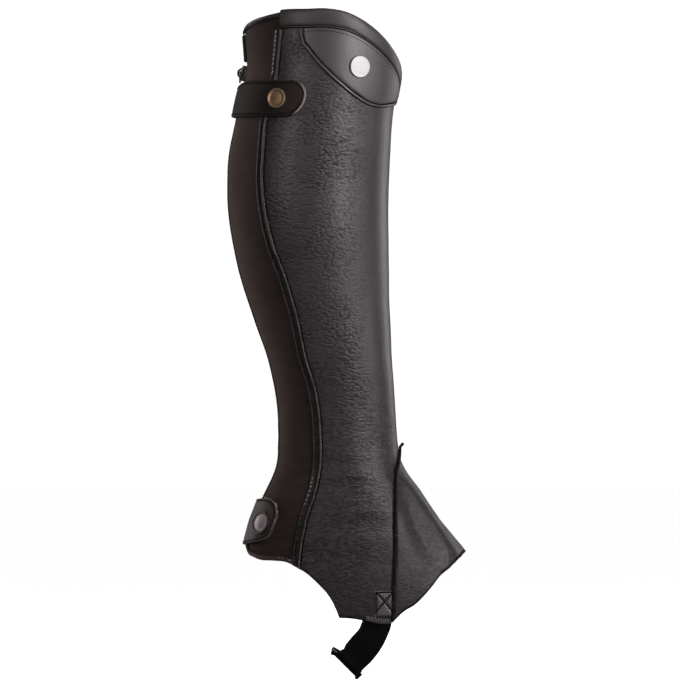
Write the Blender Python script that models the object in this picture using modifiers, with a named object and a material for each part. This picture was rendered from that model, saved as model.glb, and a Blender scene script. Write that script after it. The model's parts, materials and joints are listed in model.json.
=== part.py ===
"""A leather half chap, filled out as on the lower leg: the right leg's, seen from its outer side.

The frame is +Z up the leg, +X to the toe and -Y to the outer side. The origin is the middle of the
fullest calf section, where the leg holds it. Lengths below are in millimetres unless a name says degrees.
An angle goes round the leg: 0 is the shin, 90 the outer side, 180 the zip at the back, -90 the inner side.
"""

import math
from functools import lru_cache

import bmesh
import bpy
from mathutils import Matrix, Vector

MM = 0.001

# Thicknesses of the cut pieces, and the gaps between them
LEATHER = 2.0
STRETCH_CLOTH = 1.6
OVERLAY = 1.2
NARROW_BINDING = 1.0
TAB_LEATHER = 2.2
TAPE = 1.0
WEBBING = 1.8
SEAM_GAP = 0.4
LAY_GAP = 0.4

# The leg's sections, a row for each height, through the outer face of the panels
SECTION_COLUMNS = ("height", "back", "widest", "front", "width")
SECTIONS = (
    (150.0, -49.6, 9.6, 72.6, 112.0),
    (120.0, -48.8, 9.2, 72.4, 112.6),
    (104.0, -47.6, 8.3, 72.1, 113.4),
    (91.6, -47.2, 7.3, 71.8, 114.0),
    (74.7, -49.6, 5.8, 69.7, 115.0),
    (61.6, -52.7, 4.2, 67.0, 115.5),
    (49.3, -55.4, 3.5, 65.5, 115.5),
    (28.5, -59.6, 1.9, 64.0, 115.0),
    (0.0, -61.6, 0.4, 62.8, 114.0),
    (-19.3, -61.1, 0.4, 62.5, 113.0),
    (-42.4, -57.8, 1.9, 62.5, 109.0),
    (-73.2, -50.7, 5.8, 62.9, 101.0),
    (-104.0, -40.6, 11.2, 63.9, 93.0),
    (-134.8, -30.1, 16.3, 65.4, 85.5),
    (-165.6, -23.7, 19.8, 67.4, 79.5),
    (-188.7, -22.1, 22.0, 68.7, 77.0),
    (-201.7, -22.1, 23.3, 69.8, 77.0),
    (-209.4, -22.5, 24.0, 71.3, 77.5),
    (-219.5, -24.8, 25.0, 75.9, 78.5),
    (-231.0, -29.5, 26.0, 84.0, 80.0),
    (-242.6, -34.8, 27.0, 91.7, 82.0),
    (-258.0, -41.0, 28.5, 102.1, 85.0),
    (-283.4, -47.9, 32.0, 120.5, 89.0),
    (-308.0, -53.7, 37.0, 138.0, 92.0),
    (-338.0, -58.3, 42.5, 159.0, 93.0),
    (-381.0, -61.4, 47.0, 179.0, 93.0),
)

# The top edge, higher on the outer side than on the inner one
TOPLINE_COLUMNS = ("degrees", "height")
TOPLINE = (
    (-180.0, 118.8),
    (-150.0, 97.8),
    (-125.0, 80.9),
    (-100.0, 70.0),
    (-75.0, 67.0),
    (-50.0, 68.5),
    (-30.0, 73.2),
    (-15.0, 79.3),
    (0.0, 87.0),
    (15.0, 97.0),
    (30.0, 107.8),
    (45.0, 118.6),
    (60.0, 127.8),
    (70.0, 132.4),
    (85.0, 135.3),
    (100.0, 135.0),
    (118.0, 134.7),
    (135.0, 132.0),
    (150.0, 129.2),
    (165.0, 125.6),
    (180.0, 120.2),
)

# The bottom edge seen from the side, heel to toe, the same on both sides
HEM_COLUMNS = ("x", "height")
HEM = (
    (-49.7, -276.4),
    (-47.9, -278.1),
    (-45.8, -284.0),
    (-42.3, -286.4),
    (-38.1, -288.2),
    (-26.8, -289.1),
    (-16.4, -290.3),
    (-9.9, -293.4),
    (0.3, -299.8),
    (9.2, -308.0),
    (15.6, -315.1),
    (20.7, -324.0),
    (24.3, -333.0),
    (34.8, -333.6),
    (45.0, -335.5),
    (60.4, -338.0),
    (64.8, -337.3),
    (67.4, -334.6),
    (74.3, -328.0),
    (83.3, -322.6),
    (89.7, -316.3),
    (97.4, -307.4),
    (103.1, -300.3),
    (111.4, -293.4),
    (119.7, -283.4),
    (125.1, -277.2),
)
HEM_CORNER = (24.3, -333.0)
HEM_SEARCH = (-240.0, -345.0)
HEM_HALVINGS = 30

# The seam between the stretch panel and the leather, seen from the outer side
SEAM_COLUMNS = ("height", "x")
OUTER_SEAM = (
    (140.0, -20.0),
    (110.1, -21.9),
    (80.9, -25.0),
    (49.3, -32.7),
    (22.3, -35.0),
    (0.8, -35.8),
    (-15.4, -34.3),
    (-47.7, -27.3),
    (-73.2, -18.1),
    (-97.8, -10.8),
    (-137.1, -1.9),
    (-151.7, 2.7),
    (-170.9, 6.5),
    (-191.0, 8.1),
    (-210.2, 8.5),
    (-233.3, 5.0),
    (-254.9, -1.9),
    (-278.0, -6.5),
    (-300.0, -8.6),
)

# The two seams of the instep gusset leave the shin at its apex and run down each side
GUSSET_COLUMNS = ("height", "degrees")
GUSSET_SEAM = (
    (-201.7, 0.0),
    (-204.0, 4.5),
    (-209.4, 14.0),
    (-219.5, 31.0),
    (-231.0, 43.5),
    (-242.6, 51.0),
    (-258.0, 57.8),
    (-283.4, 66.2),
    (-308.0, 73.0),
    (-332.6, 78.0),
    (-345.0, 80.0),
)
APEX = -201.7

# Soft folds of both sides: a negative depth is a trough, and degrees_per_mm leans it
FOLD_COLUMNS = ("degrees", "height", "half_degrees", "half_height", "degrees_per_mm", "depth")
FOLDS = (
    (43.0, -272.0, 13.0, 36.0, -0.18, -3.2),
    (20.0, -262.0, 9.0, 34.0, -0.05, 0.9),
    (88.0, -232.0, 30.0, 7.5, 0.10, -0.9),
    (80.0, -262.0, 26.0, 8.0, 0.12, -0.7),
    (98.0, -286.0, 24.0, 8.5, -0.10, -0.8),
    (0.0, -286.0, 9.0, 18.0, 0.0, 2.4),
)

# The mesh: how many columns and rows each panel has
SEAM_TO_CORNER = 6
CORNER_TO_SHIN = 14
CORNER_TO_ZIP = 9
UPPER_ROWS = 22
UPPER_CROWDING = 1.25
LOWER_ROWS = 11
LOWER_CROWDING = 1.3
STRETCH_ACROSS = 7
GUSSET_ACROSS = 10
GUSSET_START = 0.012
SETTLING_ROUNDS = 14
ARC_STEP = 2.0

# The bindings, folded over an edge
BINDING_DEEP = 15.0
BINDING_INSIDE = 11.0
NARROW_DEEP = 4.5
FOLD_ROUND = 0.95
STRETCH_DROP = 1.6
SEAM_TOP_DEGREES = 120.0
HEEL_DEGREES = 150.0

# The zip, in the gap between the two edges at the back
ZIP_GAP = 7.0
ZIP_TOP = 92.6
ZIP_TAPE_WIDE = 24.0
ZIP_TAPE_ABOVE_HEM = 5.5
ZIP_ROWS = 30
ZIP_CHAIN = {"wide": 5.4, "thick": 2.3, "out": 0.3, "above_hem": 4.0}
NOTCH_FACING = {"wide": 4.0, "thick": 1.9, "low": 95.2, "middle": 110.0, "rows": 4}
SLIDER = {"height": 86.2, "wide": 8.4, "long": 12.0, "thick": 2.0, "bevel": 0.6, "tip": 0.62}
BAIL = {"long": 7.6, "high": 3.4, "wire": 0.5, "sunk": 0.6}
BAIL_ARCH_COLUMNS = ("share_of_high", "share_of_half")
BAIL_ARCH = ((0.60, 1.0), (1.0, 0.55), (1.0, -0.30), (0.50, -0.85))
PULL = {
    "wide": 5.0, "long": 9.6, "thick": 1.0, "bar": 0.5, "hole_wide": 3.0, "hole_long": 5.4,
    "clearance": 0.3, "up_the_bail": 1.37,
}

# The closing tabs, laid from the inner side over the zip to the outer side
UPPER_TAB = {
    "height": 63.8, "rise": 2.0, "rise_over": 30.0, "root": -38.0, "tip": 83.6,
    "half": 14.0, "neck": 12.2, "round": 15.0, "above": 2.2, "below": 2.2, "lift": 1.9,
}
LOWER_TAB = {
    "height": -260.6, "rise": 3.0, "rise_over": 34.0, "root": -26.0, "tip": 34.5,
    "half": 17.4, "neck": 17.4, "round": 21.0, "above": 2.1, "below": 4.2, "lift": 1.3,
}
TAB_STRAIGHT_COLUMNS = 14
TAB_TIP_TURNS = (18.0, 36.0, 52.0, 66.0, 78.0)
TAB_ROWS = 4
TAB_FLAT_ROOT = 6.0
TAB_LIFT_OVER = 14.0
TAB_DROP_OVER = 16.0
UPPER_SNAP = {"degrees": 117.4, "height": 64.7}
LOWER_SNAP = {"along": 21.5, "height": -260.2}
SNAP_CAP = {"radius": 7.6, "high": 2.4}
CAP_SEGMENTS = 20
CAP_COLUMNS = ("share_of_radius", "share_of_high")
DOMED_CAP = ((0.0, 0.82), (0.62, 0.74), (0.74, 1.0), (0.90, 0.92), (1.0, 0.45), (1.0, 0.0), (0.0, 0.0))
FLAT_CAP = ((0.0, 1.0), (0.86, 1.0), (1.0, 0.6), (1.0, 0.0), (0.0, 0.0))

# The smooth patch below the knee and its round stud
PATCH_EDGE_COLUMNS = ("degrees", "height")
PATCH_EDGE = (
    (-20.0, 63.5),
    (-14.0, 64.7),
    (0.0, 62.5),
    (22.0, 60.2),
    (36.6, 59.3),
    (47.0, 60.8),
    (60.0, 67.0),
    (72.0, 75.5),
    (83.0, 85.5),
    (90.6, 93.9),
    (99.0, 103.6),
    (103.5, 110.0),
    (105.6, 119.0),
)
PATCH_SPAN = (105.2, -12.5)
PATCH_COLUMNS = 22
PATCH_ROWS = 5
STUD = {"degrees": 60.0, "height": 89.6, "radius": 8.0, "high": 2.0}

STRIP_WIDE = 8.0
WELT = {"radius": 1.1, "out": 1.5, "stub": 2.7, "start_degrees": 3.0, "start_drop": 0.5, "past_hem": 1.0}

# The stirrup strap: its middle line from inside the panel down to the turn under the foot
STRAP_COLUMNS = ("x", "height", "wide")
STRAP_LINE = (
    (56.4, -312.0, 20.0),
    (55.8, -323.4, 20.6),
    (54.2, -335.7, 21.4),
    (51.6, -342.3, 22.0),
    (47.4, -350.0, 22.8),
    (41.2, -357.6, 23.8),
    (36.0, -361.8, 25.0),
    (31.4, -365.4, 26.6),
)
STRAP_TURN = 5.0
STRAP_TURN_DEGREES = (22.5, 45.0, 67.5, 90.0)
STRAP_HALF_SPAN = 40.0
STRAP_LEAVES_HEM = 2 / 7
STRAP_ACROSS = 3

COLOURS = {
    "leather": ((0.068, 0.062, 0.061), 0.50, 0.0),
    "smooth_leather": ((0.085, 0.079, 0.078), 0.42, 0.0),
    "stretch": ((0.030, 0.022, 0.019), 0.90, 0.0),
    "tab": ((0.026, 0.020, 0.018), 0.75, 0.0),
    "webbing": ((0.010, 0.010, 0.011), 0.85, 0.0),
    "zip": ((0.012, 0.011, 0.011), 0.55, 0.0),
    "gunmetal": ((0.20, 0.19, 0.17), 0.35, 1.0),
    "brass": ((0.32, 0.20, 0.10), 0.38, 1.0),
    "silver": ((0.80, 0.79, 0.79), 0.30, 1.0),
}


class Curve:
    """A smooth curve through a table's points, read at any place along its first column."""

    def __init__(self, columns, rows, along, value):
        pairs = sorted((row[columns.index(along)], row[columns.index(value)]) for row in rows)
        self.xs = [x for x, _ in pairs]
        self.ys = [y for _, y in pairs]
        steps = [b - a for a, b in zip(self.xs, self.xs[1:])]
        rises = [(b - a) / s for a, b, s in zip(self.ys, self.ys[1:], steps)]
        inner = [
            (h1 * r0 + h0 * r1) / (h0 + h1)
            for h0, h1, r0, r1 in zip(steps, steps[1:], rises, rises[1:])
        ]
        self.slopes = [rises[0], *inner, rises[-1]]

    def __call__(self, x):
        if x <= self.xs[0]:
            return self.ys[0] + (x - self.xs[0]) * self.slopes[0]
        if x >= self.xs[-1]:
            return self.ys[-1] + (x - self.xs[-1]) * self.slopes[-1]
        i = max(k for k, known in enumerate(self.xs[:-1]) if known <= x)
        step = self.xs[i + 1] - self.xs[i]
        t = (x - self.xs[i]) / step
        return (
            (1 + 2 * t) * (1 - t) ** 2 * self.ys[i]
            + t * (1 - t) ** 2 * step * self.slopes[i]
            + t * t * (3 - 2 * t) * self.ys[i + 1]
            + t * t * (t - 1) * step * self.slopes[i + 1]
        )


BACK, WIDEST, FRONT, WIDTH = (
    Curve(SECTION_COLUMNS, SECTIONS, "height", name) for name in SECTION_COLUMNS[1:]
)
TOP_EDGE = Curve(TOPLINE_COLUMNS, TOPLINE, "degrees", "height")
SEAM_X = Curve(SEAM_COLUMNS, OUTER_SEAM, "height", "x")
GUSSET_DEGREES = Curve(GUSSET_COLUMNS, GUSSET_SEAM, "height", "degrees")
PATCH_LOW = Curve(PATCH_EDGE_COLUMNS, PATCH_EDGE, "degrees", "height")


# The leg's surface

def leg_point(degrees, height):
    """A point of the leg's surface before its folds."""
    cosine = math.cos(math.radians(degrees))
    widest = WIDEST(height)
    reach = FRONT(height) - widest if cosine > 0 else widest - BACK(height)
    side = -WIDTH(height) / 2 * math.sin(math.radians(degrees))
    return Vector((widest + reach * cosine, side, height))


@lru_cache(maxsize=None)
def leg_normal(degrees, height, step=0.5):
    around = leg_point(degrees + step, height) - leg_point(degrees - step, height)
    up = leg_point(degrees, height + step) - leg_point(degrees, height - step)
    return up.cross(around).normalized()


def fold_depth(degrees, height):
    """How far the folds move the surface out at a place, the same on both sides of the leg."""
    side = abs((degrees + 180.0) % 360.0 - 180.0)
    total = 0.0
    for middle, level, half_degrees, half_height, lean, depth in FOLDS:
        across = (side - middle - lean * (height - level)) / half_degrees
        along = (height - level) / half_height
        total += depth * math.exp(-across * across - along * along)
    return total


def skin(degrees, height, out=0.0):
    """A point of the garment's surface, moved out by so many millimetres."""
    moved = out + fold_depth(degrees, height)
    return leg_point(degrees, height) + leg_normal(degrees, height) * moved


def turned(degrees, height, distance):
    """The angle that lies a distance further round the section."""
    per_degree = (leg_point(degrees + 0.5, height) - leg_point(degrees - 0.5, height)).length
    return degrees + distance / per_degree


def outer_degrees(x, height):
    """The angle on the outer side that shows at a place seen from the side."""
    widest = WIDEST(height)
    reach = FRONT(height) - widest if x > widest else widest - BACK(height)
    return math.degrees(math.acos(max(-1.0, min(1.0, (x - widest) / reach))))


def zip_half_degrees(height, distance=ZIP_GAP / 2):
    """Half the zip's gap, as an angle at the back."""
    return turned(180.0, height, distance) - 180.0


def seam_degrees(height):
    return outer_degrees(SEAM_X(height), height)


# The edges

def hem_from_side(x):
    """The hem's height where the side view shows it at x."""
    place = max(0, min(len(HEM) - 2, sum(1 for row in HEM if row[0] <= x) - 1))
    (x0, z0), (x1, z1) = HEM[place], HEM[place + 1]
    return z0 + (z1 - z0) * (x - x0) / (x1 - x0)


@lru_cache(maxsize=None)
def hem_height(degrees):
    """The height where the line at this angle, going down the leg, meets the hem."""
    inside, outside = HEM_SEARCH
    for _ in range(HEM_HALVINGS):
        middle = (inside + outside) / 2
        if middle > hem_from_side(leg_point(degrees, middle).x):
            inside = middle
        else:
            outside = middle
    return (inside + outside) / 2


CORNER_DEGREES = outer_degrees(*HEM_CORNER)


def panel_top(degrees):
    return TOP_EDGE(degrees) - OVERLAY - LAY_GAP


def stretch_top(degrees):
    return panel_top(degrees) - STRETCH_DROP


def apex_level(_degrees):
    return APEX


# Meshes

def collection():
    made = bpy.data.collections.new("half_chap")
    bpy.context.scene.collection.children.link(made)
    return made


def material(name):
    found = bpy.data.materials.get(name)
    if found:
        return found
    made = bpy.data.materials.new(name)
    made.use_nodes = True
    colour, roughness, metallic = COLOURS[name]
    shader = made.node_tree.nodes["Principled BSDF"]
    shader.inputs["Base Color"].default_value = (*colour, 1.0)
    shader.inputs["Roughness"].default_value = roughness
    shader.inputs["Metallic"].default_value = metallic
    return made


def add_object(name, mesh, finish, group):
    made = bpy.data.objects.new(name, mesh)
    made.data.materials.append(material(finish))
    group.objects.link(made)
    return made


def sheet(name, grids, thickness, finish, group):
    """A cloth wall: grids of points on its outer face, joined where they meet, and Solidify behind them.

    Each grid's rows go down and its columns go from the back, over the outer side, to the front.
    """
    work = bmesh.new()
    for rows in grids:
        made = [[work.verts.new(point * MM) for point in row] for row in rows]
        for upper, lower in zip(made, made[1:]):
            for left, right in zip(range(len(upper)), range(1, len(upper))):
                work.faces.new((upper[left], lower[left], lower[right], upper[right]))
    bmesh.ops.remove_doubles(work, verts=work.verts, dist=0.005 * MM)
    mesh = bpy.data.meshes.new(name)
    work.to_mesh(mesh)
    work.free()
    mesh.shade_smooth()
    made = add_object(name, mesh, finish, group)
    wall = made.modifiers.new("wall", "SOLIDIFY")
    wall.thickness = thickness * MM
    wall.offset = -1
    return made


def between(guides, counts, height):
    """Angles across a panel at one height, through its guide lines with so many columns between them."""
    lines = [guide(height) for guide in guides]
    angles = [lines[0]]
    for start, end, count in zip(lines, lines[1:], counts):
        angles += [start + (end - start) * k / count for k in range(1, count + 1)]
    return angles


def panel_grid(guides, counts, top, low, shares, out=0.0):
    """Points of a panel: its columns follow the guides, and its rows share the way from top to low."""
    rows = []
    for share in shares:
        row = []
        for column in range(sum(counts) + 1):
            height = 0.0
            for _ in range(SETTLING_ROUNDS):
                degrees = between(guides, counts, height)[column]
                height = top(degrees) + (low(degrees) - top(degrees)) * share
            row.append(skin(degrees, height, out))
        rows.append(row)
    return rows


def even(count):
    return [k / count for k in range(count + 1)]


def upper_shares():
    """Shares of the way from the top to the apex, closer together under the bindings."""
    return [share**UPPER_CROWDING for share in even(UPPER_ROWS)]


def lower_shares():
    """Shares of the way from the apex to the hem, closer together at the ankle."""
    return [share**LOWER_CROWDING for share in even(LOWER_ROWS)]


# The panels

def seam_edge(distance):
    return lambda height: turned(seam_degrees(height), height, distance)


def shin_line(_height):
    return 0.0


def corner_line(side):
    return lambda _height: side * CORNER_DEGREES


def zip_edge(side):
    return lambda height: side * (180.0 - zip_half_degrees(height))


def gusset_edge(side, distance):
    """The gusset's seam on one side, moved a distance away from the shin."""

    def line(height):
        if height > APEX - 0.01:
            return 0.0
        return side * turned(GUSSET_DEGREES(height), height, distance)

    return line


def main_panel(group):
    """One hide of leather, from the stretch seam over the shin to the zip, slit for the gusset."""
    high, low = upper_shares(), lower_shares()
    outer = (SEAM_TO_CORNER, CORNER_TO_SHIN)
    inner = (CORNER_TO_SHIN, CORNER_TO_ZIP)
    seam = seam_edge(-SEAM_GAP / 2)
    outer_slit, inner_slit = gusset_edge(1, SEAM_GAP / 2), gusset_edge(-1, SEAM_GAP / 2)
    grids = (
        panel_grid((seam, corner_line(1), shin_line), outer, panel_top, apex_level, high),
        panel_grid((shin_line, corner_line(-1), zip_edge(-1)), inner, panel_top, apex_level, high),
        panel_grid((seam, corner_line(1), outer_slit), outer, apex_level, hem_height, low),
        panel_grid((inner_slit, corner_line(-1), zip_edge(-1)), inner, apex_level, hem_height, low),
    )
    return sheet("main_panel", grids, LEATHER, "leather", group)


def stretch_panel(group):
    """The stretch cloth at the back of the outer side, between the zip and the seam."""
    guides = (zip_edge(1), seam_edge(SEAM_GAP / 2))
    across = (STRETCH_ACROSS,)
    grids = (
        panel_grid(guides, across, stretch_top, apex_level, upper_shares()),
        panel_grid(guides, across, apex_level, stretch_hem, lower_shares()),
    )
    return sheet("stretch_panel", grids, STRETCH_CLOTH, "stretch", group)


def stretch_hem(degrees):
    return hem_height(degrees) + NARROW_BINDING + 2 * LAY_GAP


def instep_gusset(group):
    """The kite-shaped piece over the instep, between the two seams that leave the shin."""
    across = (GUSSET_ACROSS, GUSSET_ACROSS)
    guides = (gusset_edge(1, -SEAM_GAP / 2), shin_line, gusset_edge(-1, -SEAM_GAP / 2))
    shares = [GUSSET_START, *lower_shares()[1:]]
    grid = panel_grid(guides, across, apex_level, hem_height, shares)
    return sheet("instep_gusset", (grid,), LEATHER, "leather", group)


def binding(name, angles, edge, way, deep, inside, wall, thickness, finish, group):
    """A strip folded over an edge, whose height edge gives by angle. Way is 1 with the cloth below it."""
    out = thickness + LAY_GAP
    back = -(wall + LAY_GAP + thickness)
    fold = (
        (deep, out),
        (deep / 2, out),
        (FOLD_ROUND, out),
        (0.0, out - FOLD_ROUND),
        (0.0, back + FOLD_ROUND),
        (FOLD_ROUND, back),
        (inside, back),
    )
    section = fold if way < 0 else fold[::-1]
    rows = [
        [skin(degrees, edge(degrees) - way * down, away) for degrees in angles]
        for down, away in section
    ]
    return sheet(name, (rows,), thickness, finish, group)


def bindings(group):
    high = TOP_EDGE(SEAM_TOP_DEGREES) - BINDING_DEEP / 2
    low = hem_height(HEEL_DEGREES)
    panel_guides = (seam_edge(-SEAM_GAP), corner_line(1), shin_line, corner_line(-1), zip_edge(-1))
    panel_counts = (SEAM_TO_CORNER, CORNER_TO_SHIN, CORNER_TO_SHIN, CORNER_TO_ZIP)
    binding(
        "top_binding", between(panel_guides, panel_counts, high), TOP_EDGE, 1,
        BINDING_DEEP, BINDING_INSIDE, LEATHER, OVERLAY, "smooth_leather", group,
    )
    binding(
        "stretch_binding", between((zip_edge(1), seam_edge(SEAM_GAP)), (STRETCH_ACROSS,), high),
        lambda degrees: stretch_top(degrees) + LAY_GAP + NARROW_BINDING, 1,
        NARROW_DEEP, NARROW_DEEP, STRETCH_CLOTH, NARROW_BINDING, "smooth_leather", group,
    )
    strip_edge = seam_edge(STRIP_WIDE / 2 + SEAM_GAP)
    binding(
        "heel_binding", between((zip_edge(1), strip_edge), (STRETCH_ACROSS,), low), hem_height, -1,
        NARROW_DEEP, NARROW_DEEP, STRETCH_CLOTH, NARROW_BINDING, "stretch", group,
    )


def below_binding(degrees):
    return TOP_EDGE(degrees) - BINDING_DEEP - SEAM_GAP


def seam_strip(group):
    """The leather strip sewn over the stretch panel's seam."""
    half = STRIP_WIDE / 2
    guides = (seam_edge(half), seam_edge(0.0), seam_edge(-half))
    out = LAY_GAP + OVERLAY
    grids = (
        panel_grid(guides, (1, 1), below_binding, apex_level, upper_shares(), out),
        panel_grid(guides, (1, 1), apex_level, hem_height, lower_shares(), out),
    )
    return sheet("seam_strip", grids, OVERLAY, "leather", group)


def knee_patch(group):
    """The smooth leather patch that lies on the panel under the binding, round edge down."""
    start, end = PATCH_SPAN
    rows = []
    for share in even(PATCH_ROWS):
        row = []
        for k in range(PATCH_COLUMNS + 1):
            even_share = k / PATCH_COLUMNS
            rounded = (1 - math.cos(math.pi * even_share)) / 2
            degrees = start + (end - start) * (even_share + rounded) / 2
            high = below_binding(degrees)
            low = min(PATCH_LOW(degrees), high - 1.0)
            row.append(skin(degrees, high + (low - high) * share, LAY_GAP + OVERLAY))
        rows.append(row)
    return sheet("knee_patch", (rows,), OVERLAY, "smooth_leather", group)


def notch_facings(group):
    """The folded edges of the open notch above the slider, one on each side."""
    for name, side in (("notch_facing_outer", 1), ("notch_facing_inner", -1)):
        drop = BINDING_DEEP if side < 0 else NARROW_DEEP + STRETCH_DROP
        near, far = (0.0, NOTCH_FACING["wide"]) if side > 0 else (NOTCH_FACING["wide"], 0.0)
        rows = []
        for share in even(NOTCH_FACING["rows"]):
            row = []
            for distance in (near, far):
                spread = zip_half_degrees(NOTCH_FACING["middle"], ZIP_GAP / 2 + distance)
                angle = side * (180.0 - spread)
                high = TOP_EDGE(angle) - drop - SEAM_GAP
                height = high + (NOTCH_FACING["low"] - high) * share
                row.append(skin(angle, height, LAY_GAP + NOTCH_FACING["thick"]))
            rows.append(row)
        sheet(name, (rows,), NOTCH_FACING["thick"], "smooth_leather", group)


# The zip

def zip_band(name, half, out, thickness, low, finish, group):
    """A band down the middle of the back, following the leg."""
    rows = []
    for share in even(ZIP_ROWS):
        height = ZIP_TOP + (low - ZIP_TOP) * share
        spread = zip_half_degrees(height, half)
        rows.append([skin(180.0 + turn * spread, height, out) for turn in (1, 0, -1)])
    return sheet(name, (rows,), thickness, finish, group)


def zip_pieces(group):
    low = hem_height(180.0)
    behind = -(LEATHER + 2 * LAY_GAP)
    zip_band("zip_tape", ZIP_TAPE_WIDE / 2, behind, TAPE, low + ZIP_TAPE_ABOVE_HEM, "zip", group)
    chain = ZIP_CHAIN
    end = low + chain["above_hem"]
    zip_band("zip_chain", chain["wide"] / 2, chain["out"], chain["thick"], end, "zip", group)


def bevelled(made, width, segments=1):
    edge = made.modifiers.new("edges", "BEVEL")
    edge.width = width * MM
    edge.segments = segments
    edge.limit_method = "ANGLE"
    return made


def block(name, size, taper, finish, group):
    """A box of so many millimetres, its top narrowed by taper."""
    work = bmesh.new()
    bmesh.ops.create_cube(work, size=1.0)
    for corner in work.verts:
        if corner.co.z < 0:
            corner.co.y *= taper
        corner.co = Vector([corner.co[k] * size[k] * MM for k in range(3)])
    mesh = bpy.data.meshes.new(name)
    work.to_mesh(mesh)
    work.free()
    return add_object(name, mesh, finish, group)


def slider_place():
    """The slider's middle on the chain, with its own out, across and up directions."""
    height = SLIDER["height"]
    outward = leg_normal(180.0, height)
    across = Vector((0.0, 1.0, 0.0))
    upward = across.cross(outward)
    upward = upward if upward.z > 0 else -upward
    turn = Matrix((outward, upward.cross(outward), upward)).transposed().to_4x4()
    base = skin(180.0, height, ZIP_CHAIN["out"] + LAY_GAP)
    return Matrix.Translation(base * MM) @ turn


def helper_collection():
    found = bpy.data.collections.get("helpers")
    if found:
        return found
    made = bpy.data.collections.new("helpers")
    bpy.context.scene.collection.children.link(made)
    return made


def combine(target, other, operation):
    """A live Boolean, with its helper kept as a hidden wire."""
    made = target.modifiers.new(operation.lower(), "BOOLEAN")
    made.operation = operation
    made.solver = "EXACT"
    made.object = other
    other.hide_render = True
    other.display_type = "WIRE"


def wire(name, points, radius, finish, group):
    """A round wire through points, as a closed mesh."""
    line = bpy.data.curves.new(name, "CURVE")
    line.dimensions = "3D"
    line.bevel_depth = radius * MM
    line.bevel_resolution = 1
    line.use_fill_caps = True
    spline = line.splines.new("POLY")
    spline.points.add(len(points) - 1)
    for knot, point in zip(spline.points, points):
        knot.co = (*(point * MM), 1.0)
    curve = bpy.data.objects.new(name + "_line", line)
    group.objects.link(curve)
    bpy.context.view_layer.update()
    evaluated = curve.evaluated_get(bpy.context.evaluated_depsgraph_get())
    mesh = bpy.data.meshes.new_from_object(evaluated)
    work = bmesh.new()
    work.from_mesh(mesh)
    bmesh.ops.remove_doubles(work, verts=work.verts, dist=0.001 * MM)
    work.to_mesh(mesh)
    work.free()
    bpy.data.objects.remove(curve)
    mesh.materials.clear()
    return add_object(name, mesh, finish, group)


def zip_slider(group):
    """The slider on the chain, with the bail that its pull hangs from."""
    thick, half = SLIDER["thick"], BAIL["long"] / 2
    size = (thick, SLIDER["wide"], SLIDER["long"])
    body = block("zip_slider", size, SLIDER["tip"], "gunmetal", group)
    body.data.transform(Matrix.Translation((thick / 2 * MM, 0, 0)))
    bevelled(body, SLIDER["bevel"])
    foot = thick - BAIL["sunk"]
    arch = [Vector((thick + high * BAIL["high"], 0, along * half)) for high, along in BAIL_ARCH]
    line = [Vector((foot, 0, half)), *arch, Vector((foot, 0, -half))]
    bail = wire("bail", line, BAIL["wire"], "gunmetal", helper_collection())
    combine(body, bail, "UNION")
    body.matrix_world = bail.matrix_world = slider_place()


def pull_axis():
    """Where the pull's bar lies, under the bail's arch."""
    arch = SLIDER["thick"] + BAIL["high"] - BAIL["wire"]
    reach = arch - PULL["thick"] / 2 - PULL["clearance"]
    return slider_place() @ Vector((reach * MM, 0.0, PULL["up_the_bail"] * MM))


def zip_pull(group):
    """The pull, hanging straight down from its bar. Its origin is on the bar, where it swings."""
    wide, long, thick, bar = PULL["wide"], PULL["long"], PULL["thick"], PULL["bar"]
    plate = block("zip_pull", (thick, wide, long), 1.0, "gunmetal", group)
    plate.data.transform(Matrix.Translation((0, 0, (bar - long / 2) * MM)))
    size = (thick * 3, PULL["hole_wide"], PULL["hole_long"])
    hole = block("pull_hole", size, 1.0, "gunmetal", helper_collection())
    hole.data.transform(Matrix.Translation((0, 0, -(bar + PULL["hole_long"] / 2) * MM)))
    combine(plate, hole, "DIFFERENCE")
    plate.location = hole.location = pull_axis()


# The tabs, the snaps and the stud

def eased(share):
    share = min(1.0, max(0.0, share))
    return share * share * (3 - 2 * share)


def tab_half(tab, along, squareness):
    """Half the tab's width at a distance along it, narrower at its neck and round at its tip."""
    half = tab["neck"] + (tab["half"] - tab["neck"]) * eased(along / tab["rise_over"])
    start = tab["tip"] - tab["round"]
    share = min(1.0, max(0.0, (along - start) / tab["round"]))
    return half * (1.0 - share**squareness) ** (1.0 / squareness)


def tab_lift(tab, along):
    """How far the tab's inner face stands off: it clears the zip and lies down at its ends."""
    into = (along - tab["root"] - TAB_FLAT_ROOT) / TAB_LIFT_OVER
    ahead = (tab["tip"] - along) / TAB_DROP_OVER
    return LAY_GAP + tab["lift"] * eased(min(into, ahead))


def tab_level(tab, along):
    return tab["height"] + tab["rise"] * eased(along / tab["rise_over"])


@lru_cache(maxsize=None)
def degrees_along(distance, height):
    """The angle at a distance from the back's middle, towards the outer side."""
    steps = max(1, round(abs(distance) / ARC_STEP))
    degrees = 180.0
    for _ in range(steps):
        degrees = turned(degrees, height, -distance / steps)
    return degrees


def closing_tab(name, tab, group):
    straight = tab["tip"] - tab["round"]
    stations = [tab["root"] + (straight - tab["root"]) * share for share in even(TAB_STRAIGHT_COLUMNS)]
    stations += [straight + tab["round"] * math.sin(math.radians(turn)) for turn in TAB_TIP_TURNS]
    rows = []
    for share in even(TAB_ROWS):
        row = []
        for along in stations:
            squareness = tab["above"] if share < 0.5 else tab["below"]
            height = tab_level(tab, along) + tab_half(tab, along, squareness) * (1 - 2 * share)
            degrees = degrees_along(along, round(height, 1))
            row.append(skin(degrees, height, tab_lift(tab, along) + TAB_LEATHER))
        rows.append(row)
    return sheet(name, (rows,), TAB_LEATHER, "tab", group)


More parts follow.
